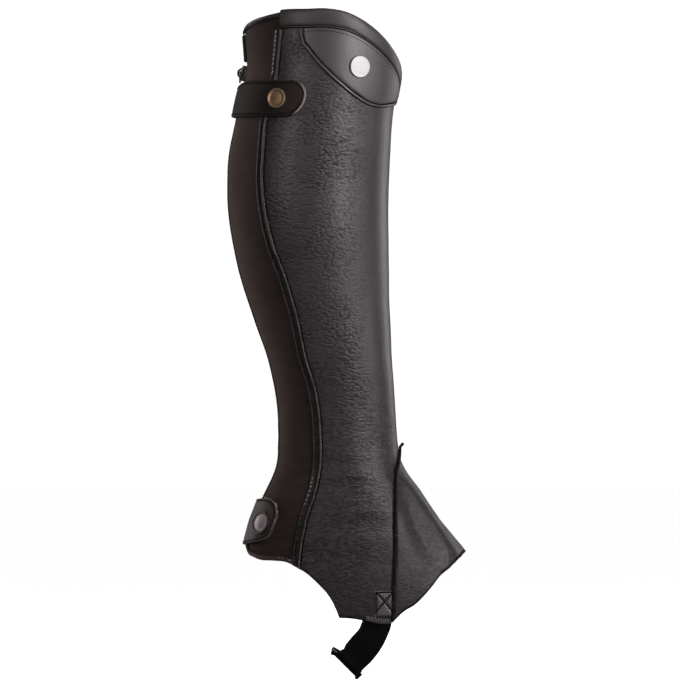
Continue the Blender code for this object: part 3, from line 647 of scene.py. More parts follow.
def leather(name, look):
    # soft pebbles in patches and short creases across the leg, closest round the ankle, smoother over the shin,
    # with painted shade in the creases, between the pebbles, in the seam grooves and along the cut edges
    hide = hideLook
    made, make, shader = startMaterial(name)
    at = make.place()
    bend = make.noise(hide["bend"], 2.0, out="Color")
    size = 1 / look["pebble"]
    spot = bend.bent(hide["pebbleBend"], scaled(make, (size, size, size * 1.8)))
    cell = make.node("ShaderNodeTexVoronoi", {"feature": "SMOOTH_F1"},
                     {"Vector": spot, "Scale": 1.0, "Smoothness": hide["smoothness"]})
    pebble = (1 - cell * cell * hide["pebbleFall"]).atLeast(0.0)
    lines = make.noise(bend.bent(hide["creaseBend"], scaled(make, hide["creases"])), 1.6)
    crease = (1 - make.math("ABSOLUTE", lines * 2 - 1) * hide["creaseFall"]).atLeast(0.0) ** 1.5
    fine = make.noise(hide["fine"], 2.0)
    patchy = make.noise(hide["patches"], 2.0).between(0.38, 0.62)
    cloud = make.noise(hide["clouds"], 3.0, hide["cloudShift"])
    ankle = at.part("Z").between(*hide["ankle"])
    shin = at.part("X").between(*hide["shin"]) * (1 - ankle * 0.75) * look["front"]
    grain = (patchy * 0.50 + 0.50) * (1 - shin) * (1 - ankle * 0.35) * look["grain"]
    creased = (patchy * 0.16 + ankle * 0.80 + 0.22) * (1 - shin) * look["creases"]
    height = pebble * grain * 0.60 - crease * creased * 0.42 + fine * 0.12
    near = make.fromEdge()
    wornWide, edgePaintAndShadeWide = look.get("wornWide", 1.5), look.get("edgePaintAndShadeWide", 1.0)
    wear = near.between(wornWide, wornWide * 0.45)
    dark, light = [tuple(c * share for c in look["colour"]) for share in (hide["darker"], hide["lighter"])]
    colour = (wear * look["rim"]).mix(cloud.between(0.35, 0.68).mix(dark, light), look["worn"])
    rough = (1 - pebble) * grain * 0.20 + cloud * 0.12 + (look["roughness"] - 0.06)
    normal = make.bump(height, 1.0, look["depth"])
    connect(shader, made.node_tree, colour=colour, roughness=rough, normal=normal)
    shader.inputs["Specular IOR Level"].default_value = look.get("shine", 0.5)
    # edge paint and painted shade: the face darkens towards the cut edges, also standing in for the contact
    # shadow under an overlay's edge
    edgePaintAndShade = near.between(edgePaintAndShadeWide, edgePaintAndShadeWide * 0.4) * look["edgePaintAndShade"]
    # painted shade: the creases and the gaps between pebbles are mixed towards a dull black; dull is the
    # leather's own even dullness
    shadow = crease * creased * 0.36 + (1 - pebble) * grain * 0.40 + edgePaintAndShade + look["dull"]
    # painted shade in each seam's groove: a band of dull black at the seam's distance from the edge
    for middle, half, strength in look.get("seams", ()):
        before = near.between(middle - half * 1.6, middle - half * 0.6)
        after = near.between(middle + half * 1.6, middle + half * 0.6)
        shadow = shadow + before * after * strength
    dulled(made, shadow.atMost(hide["mostDull"]))
    return made


def fleshSide():
    # the hide's unfinished inner face
    made, make, shader = startMaterial("fleshSideOfLeather")
    nap = make.noise((900, 900, 900), 4.0)
    cloud = make.noise((40, 40, 40), 3.0)
    colour = (nap * 0.6 + cloud * 0.4).mix((0.012, 0.0105, 0.010), (0.040, 0.036, 0.034))
    normal = make.bump(nap, 0.8, 0.0003)
    connect(shader, made.node_tree, colour=colour, roughness=0.92, normal=normal)
    shader.inputs["Sheen Weight"].default_value = 0.15
    return made


stretchLook = {"colour": (0.0225, 0.0140, 0.0112), "olive": (0.0172, 0.0148, 0.0118),
               "high": (0.050, 0.0350, 0.0290), "rib": 0.0013, "depth": 0.00030}
bindingCloth = {**stretchLook, "colour": (0.120, 0.090, 0.076), "olive": (0.105, 0.088, 0.075),
                "high": (0.190, 0.150, 0.128)}


def stretchCloth(name, look):
    # a matt napped stretch cloth: faint ribs across, brown that goes olive in places, with painted shade
    # towards the heel and the top and along the cut edges
    made, make, shader = startMaterial(name)
    weave = scaled(make, (1 / look["rib"], 1 / look["rib"], 1), source="UV")
    row = weave.part("Y")
    column = weave.part("X")
    drift = make.noise((90, 90, 90), 2.0)
    ribs = (row + drift * 1.2).wave()
    wales = (column * 0.8 + drift * 0.8).wave()
    nap = make.noise((1300, 1300, 800), 3.0)
    cloud = make.noise((26, 26, 16), 3.0)
    brushed = make.noise((70, 70, 420), 2.0)
    ground = cloud.between(0.38, 0.60).mix(look["olive"], look["colour"])
    shade = ribs * 0.20 + wales * 0.10 + nap * 0.35 + brushed.between(0.35, 0.65) * 0.35
    colour = (shade * 0.75).mix(ground, look["high"])
    normal = make.bump(ribs * 0.4 + wales * 0.2 + nap * 0.8 + brushed * 0.6, 0.9, look["depth"])
    connect(shader, made.node_tree, colour=colour, roughness=0.88, normal=normal)
    level = make.place().part("Z")
    near = make.fromEdge()
    blotch = make.noise((30, 30, 22), 3.0, (1, 4, 2))
    # painted shade: darker towards the heel and the top edge, and along the cut edges; the blotches are the
    # cloth's own uneven tone
    heel, top = level.between(-0.10, -0.27) * 0.14, level.between(0.075, 0.11) * 0.30
    shadow = heel + top + blotch.between(0.45, 0.70) * 0.22 + near.between(1.0, 0.3) * 0.75
    dulled(made, shadow.atMost(0.95))
    shader.inputs["Sheen Weight"].default_value = 0.38
    shader.inputs["Sheen Roughness"].default_value = 0.5
    shader.inputs["Sheen Tint"].default_value = (0.50, 0.33, 0.27, 1)
    shader.inputs["Specular IOR Level"].default_value = 0.22
    return made


elasticLook = {"colour": (0.0016, 0.0016, 0.0016), "high": (0.0060, 0.0060, 0.0058),
               "selvedgeAndHighlight": (0.090, 0.094, 0.090), "rib": 0.0013, "pick": 0.0007}


def elasticWebbing(name, look):
    # ribs along the strap, with fine picks across them
    made, make, shader = startMaterial(name)
    at = make.place("UV")
    u = at.part("X") / look["rib"]
    v = at.part("Y") / look["pick"]
    ribs = u.wave()
    picks = (v + make.math("ROUND", u) * 0.5).wave()
    height = ribs * 0.7 + ribs * picks * 0.3
    near = make.fromEdge()
    colour = (height * 0.8).mix(look["colour"], look["high"])
    # the lighter grey edge of the span under the foot: the selvedge's own tone and a painted highlight on its
    # curled edge
    colour = (near.between(0.9, 0.1) * 0.8).mix(colour, look["selvedgeAndHighlight"])
    normal = make.bump(height, 0.8, 0.00025)
    connect(shader, made.node_tree, colour=colour, roughness=0.72, normal=normal)
    shader.inputs["Specular IOR Level"].default_value = 0.12
    return made


def wovenTape(name):
    # the zip's twill tape
    made, make, shader = startMaterial(name)
    at = make.place("UV")
    u = at.part("X") / 0.0009
    v = at.part("Y") / 0.0009
    twill = (make.math("ABSOLUTE", u) + v).wave()
    colour = twill.mix((0.005, 0.0045, 0.0045), (0.016, 0.015, 0.015))
    normal = make.bump(twill, 0.8, 0.0002)
    connect(shader, made.node_tree, colour=colour, roughness=0.8, normal=normal)
    return made


# name: low colour, high colour, roughness, shine
threadLook = {
    "darkThread": ((0.0020, 0.0018, 0.0018), (0.0090, 0.0080, 0.0080), 0.85, 0.10),
    "greyThread": ((0.085, 0.078, 0.070), (0.200, 0.186, 0.168), 0.60, 0.45),
    "wineThread": ((0.0060, 0.0022, 0.0028), (0.0200, 0.0080, 0.0095), 0.75, 0.20),
    "ashThread": ((0.075, 0.070, 0.070), (0.220, 0.212, 0.210), 0.65, 0.35),
    "coilNylon": ((0.004, 0.004, 0.004), (0.016, 0.015, 0.015), 0.38, 0.5),
}


def thread(name):
    # twisted fibres, by the way along each stitch
    low, high, roughness, shine = threadLook[name]
    made, make, shader = startMaterial(name)
    twist = make.noise((2600, 2600, 900), 2.0)
    colour = twist.between(0.3, 0.7).mix(low, high)
    normal = make.bump(twist, 0.6, 0.0001)
    connect(shader, made.node_tree, colour=colour, roughness=roughness, normal=normal)
    shader.inputs["Specular IOR Level"].default_value = shine
    return made


# name: colour, dark colour, roughness, metallic
metalLook = {
    "agedBrass": ((0.300, 0.200, 0.105), (0.170, 0.110, 0.060), 0.42, 0.85),
    "brassRim": ((0.46, 0.34, 0.21), (0.22, 0.155, 0.095), 0.34, 0.9),
    "silverStud": ((0.505, 0.515, 0.51), (0.40, 0.41, 0.405), 0.50, 0.20),
    # painted shadow: the knee stud's rim ring is coloured dark, standing in for the shadow ring round the stud
    "studShadowRim": ((0.10, 0.095, 0.095), (0.04, 0.038, 0.038), 0.45, 0.6),
    "darkRing": ((0.040, 0.016, 0.019), (0.020, 0.008, 0.010), 0.55, 0.0),
    "mauveDish": ((0.350, 0.305, 0.312), (0.240, 0.205, 0.212), 0.48, 0.35),
    "gunmetal": ((0.22, 0.215, 0.200), (0.035, 0.033, 0.030), 0.34, 1.0),
}


def metal(name):
    bright, dark, roughness, metallic = metalLook[name]
    made, make, shader = startMaterial(name)
    cloud = make.noise((900, 900, 900), 5.0, Roughness=0.65)
    scratch = make.noise((3200, 3200, 500), 2.0)
    colour = cloud.between(0.25, 0.75).mix(dark, bright)
    rough = cloud * 0.12 + scratch * 0.10 + (roughness - 0.10)
    normal = make.bump(scratch, 0.25, 0.00005)
    connect(shader, made.node_tree, colour=colour, roughness=rough, normal=normal, metallic=metallic)
    return made


grainedLeather, smoothLeather, tabLeather, lowTabLeather, stripLeather = [
    leather(name, leatherLook[look]) for name, look in (
        ("grainedLeather", "grained"), ("smoothLeather", "smooth"), ("darkTabLeather", "tab"),
        ("lowTabLeather", "lowTab"), ("stripLeather", "strip"))]
gussetLeather, patchLeather, bindingLeather, weltLeather, anchorLeather = [
    leather(look + "Leather", leatherLook[look]) for look in ("gusset", "patch", "binding", "welt", "anchor")]
flesh = fleshSide()
stretch = stretchCloth("stretchCloth", stretchLook)
stretchRim = stretchCloth("stretchBindingCloth", bindingCloth)
elastic = elasticWebbing("elasticWebbing", elasticLook)
tape = wovenTape("zipTape")
threads = {name: thread(name) for name in threadLook}
metals = {name: metal(name) for name in metalLook}
print("materials ready:", len(bpy.data.materials))


# ---- the panels ----

panelLook = {"thick": 2.0, "stretchThick": 1.6, "curl": 0.8, "curlOver": 3.2, "edgeRound": 0.7}


def panelFaces(degrees, height, near, thick):
    # a panel's two faces: its cut edge is rounded and curls in a little
    curl = panelLook["curl"] * np.clip(1 - near / panelLook["curlOver"], 0, 1) ** 2
    fall = roundedEdge(near, panelLook["edgeRound"]) * 0.55
    return skin(degrees, height, -curl - fall), skin(degrees, height, -thick - curl)


def buildMainPanel():
    seam = seamLine(-0.2)
    outer, inner = (22, 46), (46, 32)
    upper, lower = shares(118, 1.08), shares(74, 1.12)
    grids = []
    for guides, counts, top, low, steps in (
        ((seam, fixedLine(cornerDegrees), fixedLine(0.0)), outer, panelTop, apexLevel, upper),
        ((fixedLine(0.0), fixedLine(-cornerDegrees), zipLine(-1)), inner, panelTop, apexLevel, upper),
        ((seam, fixedLine(cornerDegrees), gussetLine(1, 0.2)), outer, apexLevel, hemAt, lower),
        ((gussetLine(-1, 0.2), fixedLine(-cornerDegrees), zipLine(-1)), inner, apexLevel, hemAt, lower),
    ):
        degrees, height = panelGrid(guides, counts, top, low, steps)
        base = legPoint(degrees, height)
        u, v = lengthAlong(base, 1), lengthAlong(base, 0)
        toHem = v[-1:] - v if low is hemAt else np.full(v.shape, 99.0)
        toZip = u[:, -1:] - u if counts is inner else np.full(v.shape, 99.0)
        near = np.minimum(toHem, toZip)
        face, back = panelFaces(degrees, height, near, panelLook["thick"])
        grids.append((face, back, near))
    made = closedSheet("mainPanel", grids, grainedLeather, flesh)
    return dress(made, "grained_leather", "main_panel")


def buildStretchPanel():
    guides = (zipLine(1), seamLine(0.2))
    grids = []
    for top, low, steps in ((stretchTop, apexLevel, shares(110, 1.08)), (apexLevel, stretchHem, shares(40))):
        degrees, height = panelGrid(guides, (34,), top, low, steps)
        u = lengthAlong(legPoint(degrees, height), 1)
        face, back = panelFaces(degrees, height, u, panelLook["stretchThick"])
        grids.append((face, back, u + 3))
    made = closedSheet("stretchPanel", grids, stretch, stretch)
    return dress(made, "stretch_suede", "stretch_panel")


def buildGusset():
    guides = (gussetLine(1, -0.2), fixedLine(0.0), gussetLine(-1, -0.2))
    steps = np.concatenate([[0.012], shares(84, 1.12)[2:]])
    degrees, height = panelGrid(guides, (44, 44), apexLevel, hemAt, steps)
    v = lengthAlong(legPoint(degrees, height), 0)
    near = v[-1:] - v
    face, back = panelFaces(degrees, height, near, panelLook["thick"])
    made = closedSheet("instepGusset", [(face, back, near)], gussetLeather, flesh)
    return dress(made, "grained_leather", "instep_gusset")


mainPanel, stretchPanel, instepGusset = buildMainPanel(), buildStretchPanel(), buildGusset()
print("panels:", sum(len(p.data.polygons) for p in (mainPanel, stretchPanel, instepGusset)), "faces")


# ---- what lies on the panels ----

overlayLook = {"thick": 1.2, "gap": 0.3, "edgeRound": 0.8, "seamHalf": 0.7, "crown": 0.0}


def overlay(name, degrees, height, material, look, sides="udlr", lift=0.0):
    # a flat piece laid on the panels, its edge rounded over and its seam pressed in
    base = skin(degrees, height)
    near = gaps(base, borderOf(base, sides))
    top = look["thick"] * (1 - 0.85 * roundedEdge(near, look["edgeRound"]))
    top = top + look["crown"] * np.clip(near / 6, 0, 1)
    top = top - look["seamDeep"] * groove(near, look["seamAt"], look["seamHalf"])
    face = skin(degrees, height, look["gap"] + lift + top)
    under = skin(degrees, height, look["gap"] + lift)
    return closedSheet(name, [(face, under, near)], material, flesh)


# distance from its back edge, height of the leather there
stripProfile = [(0.0, 0.25), (0.35, 0.95), (0.9, 0.85), (1.6, 0.45), (2.6, 0.35), (3.7, 0.40), (4.6, 0.90),
                (5.5, 1.35), (6.3, 1.00), (7.0, 0.30), (7.5, 0.22), (8.0, 0.20)]


def buildSeamStrip():
    guides = (seamLine(4.0), seamLine(0.0), seamLine(-4.0))
    profileAt = throughPoints(stripProfile)
    grids = []
    for top, low, steps in ((belowBinding, apexLevel, shares(190, 1.05)), (apexLevel, hemAt, shares(70))):
        degrees, height = panelGrid(guides, (12, 12), top, low, steps)
        base = skin(degrees, height)
        fromBack = np.linalg.norm(base - base[:, :1], axis=-1)
        pucker = 0.16 * softNoise(base, (6, 6, 3.0), 9.1) * np.clip(fromBack / 1.5, 0, 1)
        face = skin(degrees, height, 0.35 + profileAt(fromBack) + pucker)
        grids.append((face, skin(degrees, height, 0.3), fromBack))
    made = closedSheet("seamStrip", grids, stripLeather, flesh)
    return dress(made, "grained_leather", "seam_strip")


patchShape = {"start": 105.2, "end": -12.5, "columns": 116, "rows": 44}


def buildKneePatch():
    even = shares(patchShape["columns"])
    part = (even + (1 - np.cos(np.pi * even)) / 2) / 2
    degrees = patchShape["start"] + (patchShape["end"] - patchShape["start"]) * part
    high = belowBinding(degrees)
    low = np.minimum(patchLowAt(degrees), high - 1.0)
    down = (1 - np.cos(np.pi * shares(patchShape["rows"])))[:, None] / 2
    height = high + (low - high) * down
    degrees = degrees + 0 * height
    look = {**overlayLook, "seamAt": 2.8, "seamDeep": 0.42, "crown": 0.35}
    made = overlay("kneePatch", degrees, height, patchLeather, look, "dlr")
    return dress(made, "smooth_leather", "knee_patch")


seamStrip, kneePatch = buildSeamStrip(), buildKneePatch()


# ---- bindings, folded over the edges ----

bindingLook = {"wideDeep": 15.0, "wideInside": 11.0, "narrowDeep": 4.5, "thick": 1.2, "narrowThick": 1.0,
               "gap": 0.4, "crown": 0.35, "fall": 0.8, "edgeRound": 0.9, "seamDeep": 0.40, "seamHalf": 0.7}


def foldedStrip(name, degrees, edge, way, deep, inside, wall, thick, material, seamAt):
    # a strip of leather folded over an edge; way is 1 where the panel lies below it
    gap = bindingLook["gap"]
    out, back = thick + gap, -(wall + gap + thick)
    radius, middle = (out - back) / 2, (out + back) / 2
    arc = np.radians(np.linspace(0, 180, 13))

    def wrapped(reach, near, far):
        # how far down from the edge each row lies, and how far out, over the outside, the fold and the inside
        rows = [np.linspace(deep, radius, 15)[:-1], radius - reach * np.sin(arc),
                np.linspace(radius, inside, 8)[1:]]
        away = [np.full(14, near), middle + reach * np.cos(arc), np.full(7, far)]
        return np.concatenate(rows), np.concatenate(away)

    rowsOut, awayOut = wrapped(radius, out, back)
    rowsIn, awayIn = wrapped(radius - thick, out - thick, back + thick)
    near = np.concatenate([deep - rowsOut[:14], np.full(13, deep), inside - rowsOut[27:]])
    shown = near[:14]
    crown = bindingLook["crown"] * np.sin(np.pi * np.clip(shown / deep, 0, 1))
    awayOut[:14] += crown - bindingLook["fall"] * thick * roundedEdge(shown, bindingLook["edgeRound"])
    awayOut[:14] -= bindingLook["seamDeep"] * groove(shown, seamAt, bindingLook["seamHalf"])
    order = slice(None) if way < 0 else slice(None, None, -1)
    level = edge(degrees)
    face = np.stack([skin(degrees, level - way * d, a) for d, a in zip(rowsOut[order], awayOut[order])])
    rear = np.stack([skin(degrees, level - way * d, a) for d, a in zip(rowsIn[order], awayIn[order])])
    edgeNear = np.broadcast_to(near[order][:, None], face.shape[:2])
    return closedSheet(name, [(face, rear, edgeNear)], material, flesh)


def stretchEdge(degrees):
    return stretchTop(degrees) + 1.4


def anglesAt(guides, counts, level):
    return across(guides, counts, np.full(sum(counts) + 1, level))


def buildBindings():
    level = float(topAt(120.0)) - 7.5
    low = float(hemAt(150.0))
    guides = (seamLine(-0.4), fixedLine(cornerDegrees), fixedLine(0.0), fixedLine(-cornerDegrees), zipLine(-1))
    look = bindingLook
    wide = foldedStrip("topBinding", anglesAt(guides, (14, 50, 50, 36), level), topAt, 1, look["wideDeep"],
                       look["wideInside"], panelLook["thick"], look["thick"], bindingLeather, 1.9)
    narrowSizes = (look["narrowDeep"], look["narrowDeep"], panelLook["stretchThick"], look["narrowThick"])
    narrow = foldedStrip("stretchBinding", anglesAt((zipLine(1), seamLine(0.4)), (44,), level), stretchEdge, 1,
                         *narrowSizes, smoothLeather, 1.2)
    heel = foldedStrip("heelBinding", anglesAt((zipLine(1), seamLine(4.4)), (44,), low), hemAt, -1,
                       *narrowSizes, stretchRim, 1.2)
    dress(wide, "smooth_leather", "top_binding")
    dress(narrow, "smooth_leather", "stretch_binding")
    dress(heel, "stretch_suede", "heel_binding")
    return wide, narrow, heel


def buildFacings():
    made = []
    for name, node, side in (("notchFacingOuter", "notch_facing_outer", 1),
                             ("notchFacingInner", "notch_facing_inner", -1)):
        drop = 15.0 if side < 0 else 6.1
        angles = side * (360.0 - turned(180.0, 110.0, 3.5 + np.linspace(0, 4.0, 7)))
        if side < 0:
            angles = angles[::-1]
        high = topAt(angles) - drop - 0.4
        rows = np.linspace(0, 1, 24)[:, None]
        height = high + (95.2 - high) * rows
        look = {**overlayLook, "thick": 1.9, "seamDeep": 0.2, "seamAt": 2.0}
        piece = overlay(name, angles + 0 * height, height, smoothLeather, look, lift=0.1)
        made.append(dress(piece, "smooth_leather", node))
    return made


topBinding, stretchBinding, heelBinding = buildBindings()
facings = buildFacings()
print("bindings and facings on")


# ---- the closing tabs ----

upperTabShape = {"height": 63.8, "rise": 2.0, "riseOver": 30.0, "root": -38.0, "tip": 83.6, "half": 14.0,
                 "neck": 12.2, "round": 15.0, "above": 2.2, "below": 2.2, "lift": 1.9}
lowerTabShape = {"height": -260.6, "rise": 3.0, "riseOver": 34.0, "root": -26.0, "tip": 34.5, "half": 17.4,
                 "neck": 17.4, "round": 21.0, "above": 2.1, "below": 4.2, "lift": 1.3}


def tabHalf(tab, along, squareness):
    half = tab["neck"] + (tab["half"] - tab["neck"]) * smoothStep(along / tab["riseOver"])
    share = np.clip((along - tab["tip"] + tab["round"]) / tab["round"], 0, 0.9995)
    return half * (1 - share ** squareness) ** (1 / squareness)


def tabLift(tab, along):
    into = (along - tab["root"] - 6.0) / 14.0
    ahead = (tab["tip"] - along) / 16.0
    return 0.4 + tab["lift"] * smoothStep(np.minimum(into, ahead))


def tabLevel(tab, along):
    return tab["height"] + tab["rise"] * smoothStep(along / tab["riseOver"])


def tabPlace(tab, along, share):
    # share goes from 0 at the upper edge to 1 at the lower one
    squareness = np.where(share < 0.5, tab["above"], tab["below"])
    height = tabLevel(tab, along) + tabHalf(tab, along, squareness) * (1 - 2 * share)
    return degreesAlong(along, height), height


tabLook = {"thick": 2.1, "fall": 0.9, "edgeRound": 1.1, "seamDeep": 0.40, "seamAt": 2.2, "seamHalf": 0.6,
           "rimAt": 0.9, "rimHalf": 0.6, "uneven": 0.12, "wornOver": 14.0}


def buildTab(name, tab, material, slotName, node, rim, wornFrom):
    straight = tab["tip"] - tab["round"]
    turns = np.radians(np.linspace(0, 88, 26))[1:]
    along = np.concatenate([np.linspace(tab["root"], straight, 64), straight + tab["round"] * np.sin(turns)])
    down = (1 - np.cos(np.pi * shares(30)))[:, None] / 2
    along = along[None] + 0 * down
    degrees, height = tabPlace(tab, along, down + 0 * along)
    lift = tabLift(tab, along)
    base = skin(degrees, height, lift)
    near = gaps(base, borderOf(base))
    look = tabLook
    top = look["thick"] * (1 - look["fall"] * roundedEdge(near, look["edgeRound"]))
    top = top - look["seamDeep"] * groove(near, look["seamAt"], look["seamHalf"])
    top = top + rim * groove(near, look["rimAt"], look["rimHalf"])
    top = top + look["uneven"] * softNoise(base, (9, 9, 9), 4.2)
    face = skin(degrees, height, lift + top)
    worn = near + 3.0 * (1 - smoothStep((along - wornFrom) / look["wornOver"]))  # the burnished edge
    made = closedSheet(name, [(face, base, worn)], material, flesh)
    return dress(made, slotName, node)


upperTab = buildTab("upperTab", upperTabShape, tabLeather, "tab_leather", "upper_tab", 0.15, 68.0)
lowerTab = buildTab("lowerTab", lowerTabShape, lowTabLeather, "tab_leather", "lower_tab", 0.40, -30.0)
print("tabs on")


# ---- the strap under the foot ----

# x, height, width, down the middle of the strap's outer side
strapLine = [
    (56.4, -312.0, 20.0), (55.8, -323.4, 20.6), (54.2, -335.7, 21.4), (51.6, -342.3, 22.0),
    (47.4, -350.0, 22.8), (41.2, -357.6, 23.8), (36.0, -361.8, 25.0), (31.4, -365.4, 26.6),
]
strapLook = {"thick": 1.8, "turn": 5.0, "halfSpan": 40.0, "across": 26, "lip": 1.5, "lipWide": 1.5,
             # how far the inner edge is drawn in, by the line's point, and how it flares at the turn
             "pinch": [(0, 0.0), (2, 0.0), (3, 0.4), (4, 1.3), (5, 1.3), (6, 3.2), (7, 4.6), (7.2, 2.6),
                       (7.4, -0.6), (7.6, -2.6), (7.8, -2.9), (8, -1.8)]}


def buildStrap():
    turn, halfSpan, count = strapLook["turn"], strapLook["halfSpan"], strapLook["across"]
    last = len(strapLine) - 1
    xAt, zAt, wideAt = [throughPoints([(k, *row) for k, row in enumerate(strapLine)], c) for c in (1, 2, 3)]
    lastAcross = np.array([1.0, 0.0, -1.0]) / math.sqrt(2)
    down = np.array([-1.0, 0.0, -1.0]) / math.sqrt(2)
    places = shares(count)
    pinch = throughPoints(strapLook["pinch"])

    def acrossStrap(wide, cut):
        # from the inner edge, cut back by so much, to the outer one
        return -wide / 2 + cut + places * (wide - cut)

    rows, spans = [], []
    for t in np.linspace(0, last, 64):
        ahead = np.array([xAt(t + 0.2) - xAt(t - 0.2), 0, zAt(t + 0.2) - zAt(t - 0.2)])
        side = np.array([-ahead[2], 0.0, ahead[0]])
        side = side / np.linalg.norm(side)
        share = t / last
        side = side + (lastAcross - side) * share ** 2
        side = side / np.linalg.norm(side)
        row = np.array([xAt(t), 0, zAt(t)]) + np.outer(acrossStrap(float(wideAt(t)), pinch(t)), side)
        lying = skin(outerDegrees(row[:, 0], row[:, 2]), row[:, 2], -2.4)[:, 1]
        inward = smoothStep((share - 2 / 7) / (5 / 7))
        row[:, 1] = lying + (-halfSpan - lying) * inward
        rows.append(row)
        spans.append(0.0)
    centre = rows[-1].mean(0) + np.array([0, turn, 0])
    wide = strapLine[-1][2]
    for swing in np.radians(np.linspace(0, 90, 19))[1:]:
        middle = centre + turn * (down * math.sin(swing) - np.array([0, 1, 0]) * math.cos(swing))
        rows.append(middle + np.outer(acrossStrap(wide, float(pinch(last + math.sin(swing)))), lastAcross))
        spans.append(math.sin(swing))
    lastRow = rows[-1]
    for y in np.linspace(lastRow[0, 1], 0, 22)[1:]:
        sag = 0.8 * (1 - (y / lastRow[0, 1]) ** 2)
        rows.append(lastRow * np.array([1, 0, 1]) + np.array([0, y, 0]) + down * sag)
        spans.append(1.0)
    outerSide = np.array(rows)
    innerSide = outerSide[::-1][1:] * np.array([1, -1, 1])
    points = np.concatenate([outerSide, innerSide])
    spans = np.concatenate([spans, spans[::-1][1:]])
    alongWay = np.gradient(points, axis=0)
    acrossWay = np.gradient(points, axis=1)
    normal = np.cross(acrossWay, alongWay)
    normal = unit(normal)
    if normal[0, 0, 1] > 0:
        normal = -normal
    fromInner = np.linalg.norm(points - points[:, :1], axis=-1)
    edge = np.minimum(fromInner, np.linalg.norm(points - points[:, -1:], axis=-1))
    lip = strapLook["lip"] * groove(edge, 0.6, strapLook["lipWide"]) * spans[:, None]
    ribs = 0.05 * np.cos(edge / 1.3 * 2 * math.pi)
    fall = 0.6 * roundedEdge(edge, 0.8)
    face = points + normal * (lip + ribs - fall)[..., None]
    rear = points - normal * (strapLook["thick"] - fall + lip * 0.3)[..., None]
    near = np.where(spans[:, None] > 0.3, edge, 5.0) + 0 * edge
    made = closedSheet("footStrap", [(face, rear, near)], elastic, elastic)
    return dress(made, "elastic", "foot_strap")


footStrap = buildStrap()
print("strap on")


# ---- the welts of the gusset ----

weltLook = {"radius": 1.10, "out": 1.30, "stub": 2.7, "around": 12}


def tubeFaces(base, rings, around):
    # the sides of a tube from ring to ring of points, then its two ends
    faces = []
    for k in range(rings - 1):
        for j in range(around):
            a, b = base + k * around + j, base + k * around + (j + 1) % around
            faces.append([a, b, b + around, a + around])
    last = base + (rings - 1) * around
    return faces + [list(range(base, base + around))[::-1], list(range(last, last + around))]


def roundCord(name, line, radii, material, around=12):
    # a closed round cord through points, in millimetres
    line = np.asarray(line, float)
    ahead = np.gradient(line, axis=0)
    ahead = unit(ahead)
    up = np.array([0.31, 0.27, 0.91])
    verts = []
    for k, (point, way) in enumerate(zip(line, ahead)):
        up = up - way * (up @ way)
        up = up / np.linalg.norm(up)
        side = np.cross(way, up)
        for turn in np.linspace(0, 2 * np.pi, around, endpoint=False):
            verts.append(point + radii[k] * (math.cos(turn) * up + math.sin(turn) * side))
    return smoothMesh(name, verts, tubeFaces(0, len(line), around), material)


def gussetSeamPlace(side, share, distance=0.0):
    height = apex + 0 * share
    for _ in range(16):
        degrees = gussetAt(height)
        height = apex + (hemAt(degrees) + 1.0 - apex) * share
    return side * turned(degrees, height, distance), height


def buildWelt(name, side, node):
    degrees, height = gussetSeamPlace(side, shares(150, 1.2)[2:])
    line = skin(degrees, height, weltLook["out"])
    if side > 0:
        start = skin(side * 3.0, apex - 0.5, weltLook["out"])
        away = legNormal(0.0, apex) + np.array([0, 0, 1.0])
        stub = [start + away * weltLook["stub"] * s for s in (1.0, 0.9, 0.75, 0.5, 0.25)]
        line = np.concatenate([stub, [start], line])
    radii = weltLook["radius"] * np.ones(len(line))
    if side > 0:
        radii[:3] = (0.9, 1.35, 1.3)
    made = roundCord(name, line, radii, weltLeather, weltLook["around"])
    return dress(made, "grained_leather", node)


buildWelt("weltOuter", 1, "welt_outer")
buildWelt("weltInner", -1, "welt_inner")


hemLook = {"from": -34.0, "to": 22.0, "radius": 1.25, "up": 0.1, "out": -1.2, "taper": 5.0}


def buildHemRoll():
    # the turned hem at the gusset's foremost corner
    degrees = np.linspace(hemLook["from"], hemLook["to"], 80)
    ends = np.minimum(degrees - hemLook["from"], hemLook["to"] - degrees)
    radii = hemLook["radius"] * (0.55 + 0.45 * smoothStep(ends / hemLook["taper"]))
    line = skin(degrees, hemAt(degrees) + hemLook["up"], hemLook["out"])
    made = roundCord("hemRoll", line, radii, weltLeather)
    return made


hemRoll = buildHemRoll()
print("welts and hem roll on")


# ---- thread ----

def alongLine(points, normals, pitch):
    # the middles, ways and normals of stitches set along a line
    lengths = lengthAlong(points, 0)
    places = np.arange(pitch / 2, lengths[-1] - pitch / 2, pitch)

    def read(values, at):
        return np.stack([np.interp(at, lengths, values[:, k]) for k in range(3)], axis=1)

    ahead = unit(read(points, places + 0.3) - read(points, places - 0.3))
    normal = read(normals, places)
    return read(points, places), ahead, unit(normal - ahead * (normal * ahead).sum(1, keepdims=True))


# name: thread, pitch, length, thickness, height of the arch
stitchLook = {
    "stripStitchesPale": ("greyThread", 3.5, 2.6, 0.78, 0.45),
    "stripStitches": ("darkThread", 2.8, 2.6, 0.42, 0.30),
    "patchStitches": ("darkThread", 2.45, 2.35, 0.46, 0.30),
    "bindingStitches": ("darkThread", 3.0, 2.3, 0.36, 0.30),
    "upperTabStitches": ("darkThread", 2.9, 2.2, 0.34, 0.30),
    "lowerTabStitches": ("wineThread", 2.9, 2.2, 0.34, 0.30),
    "weltStitches": ("wineThread", 2.6, 2.2, 0.40, 0.22),
    "zipStitches": ("darkThread", 3.0, 2.3, 0.36, 0.30),
    "anchorStitches": ("darkThread", 2.1, 2.1, 0.62, 0.22),
    "hemBarStitches": ("ashThread", 3.0, 4.1, 0.48, 0.30),
}
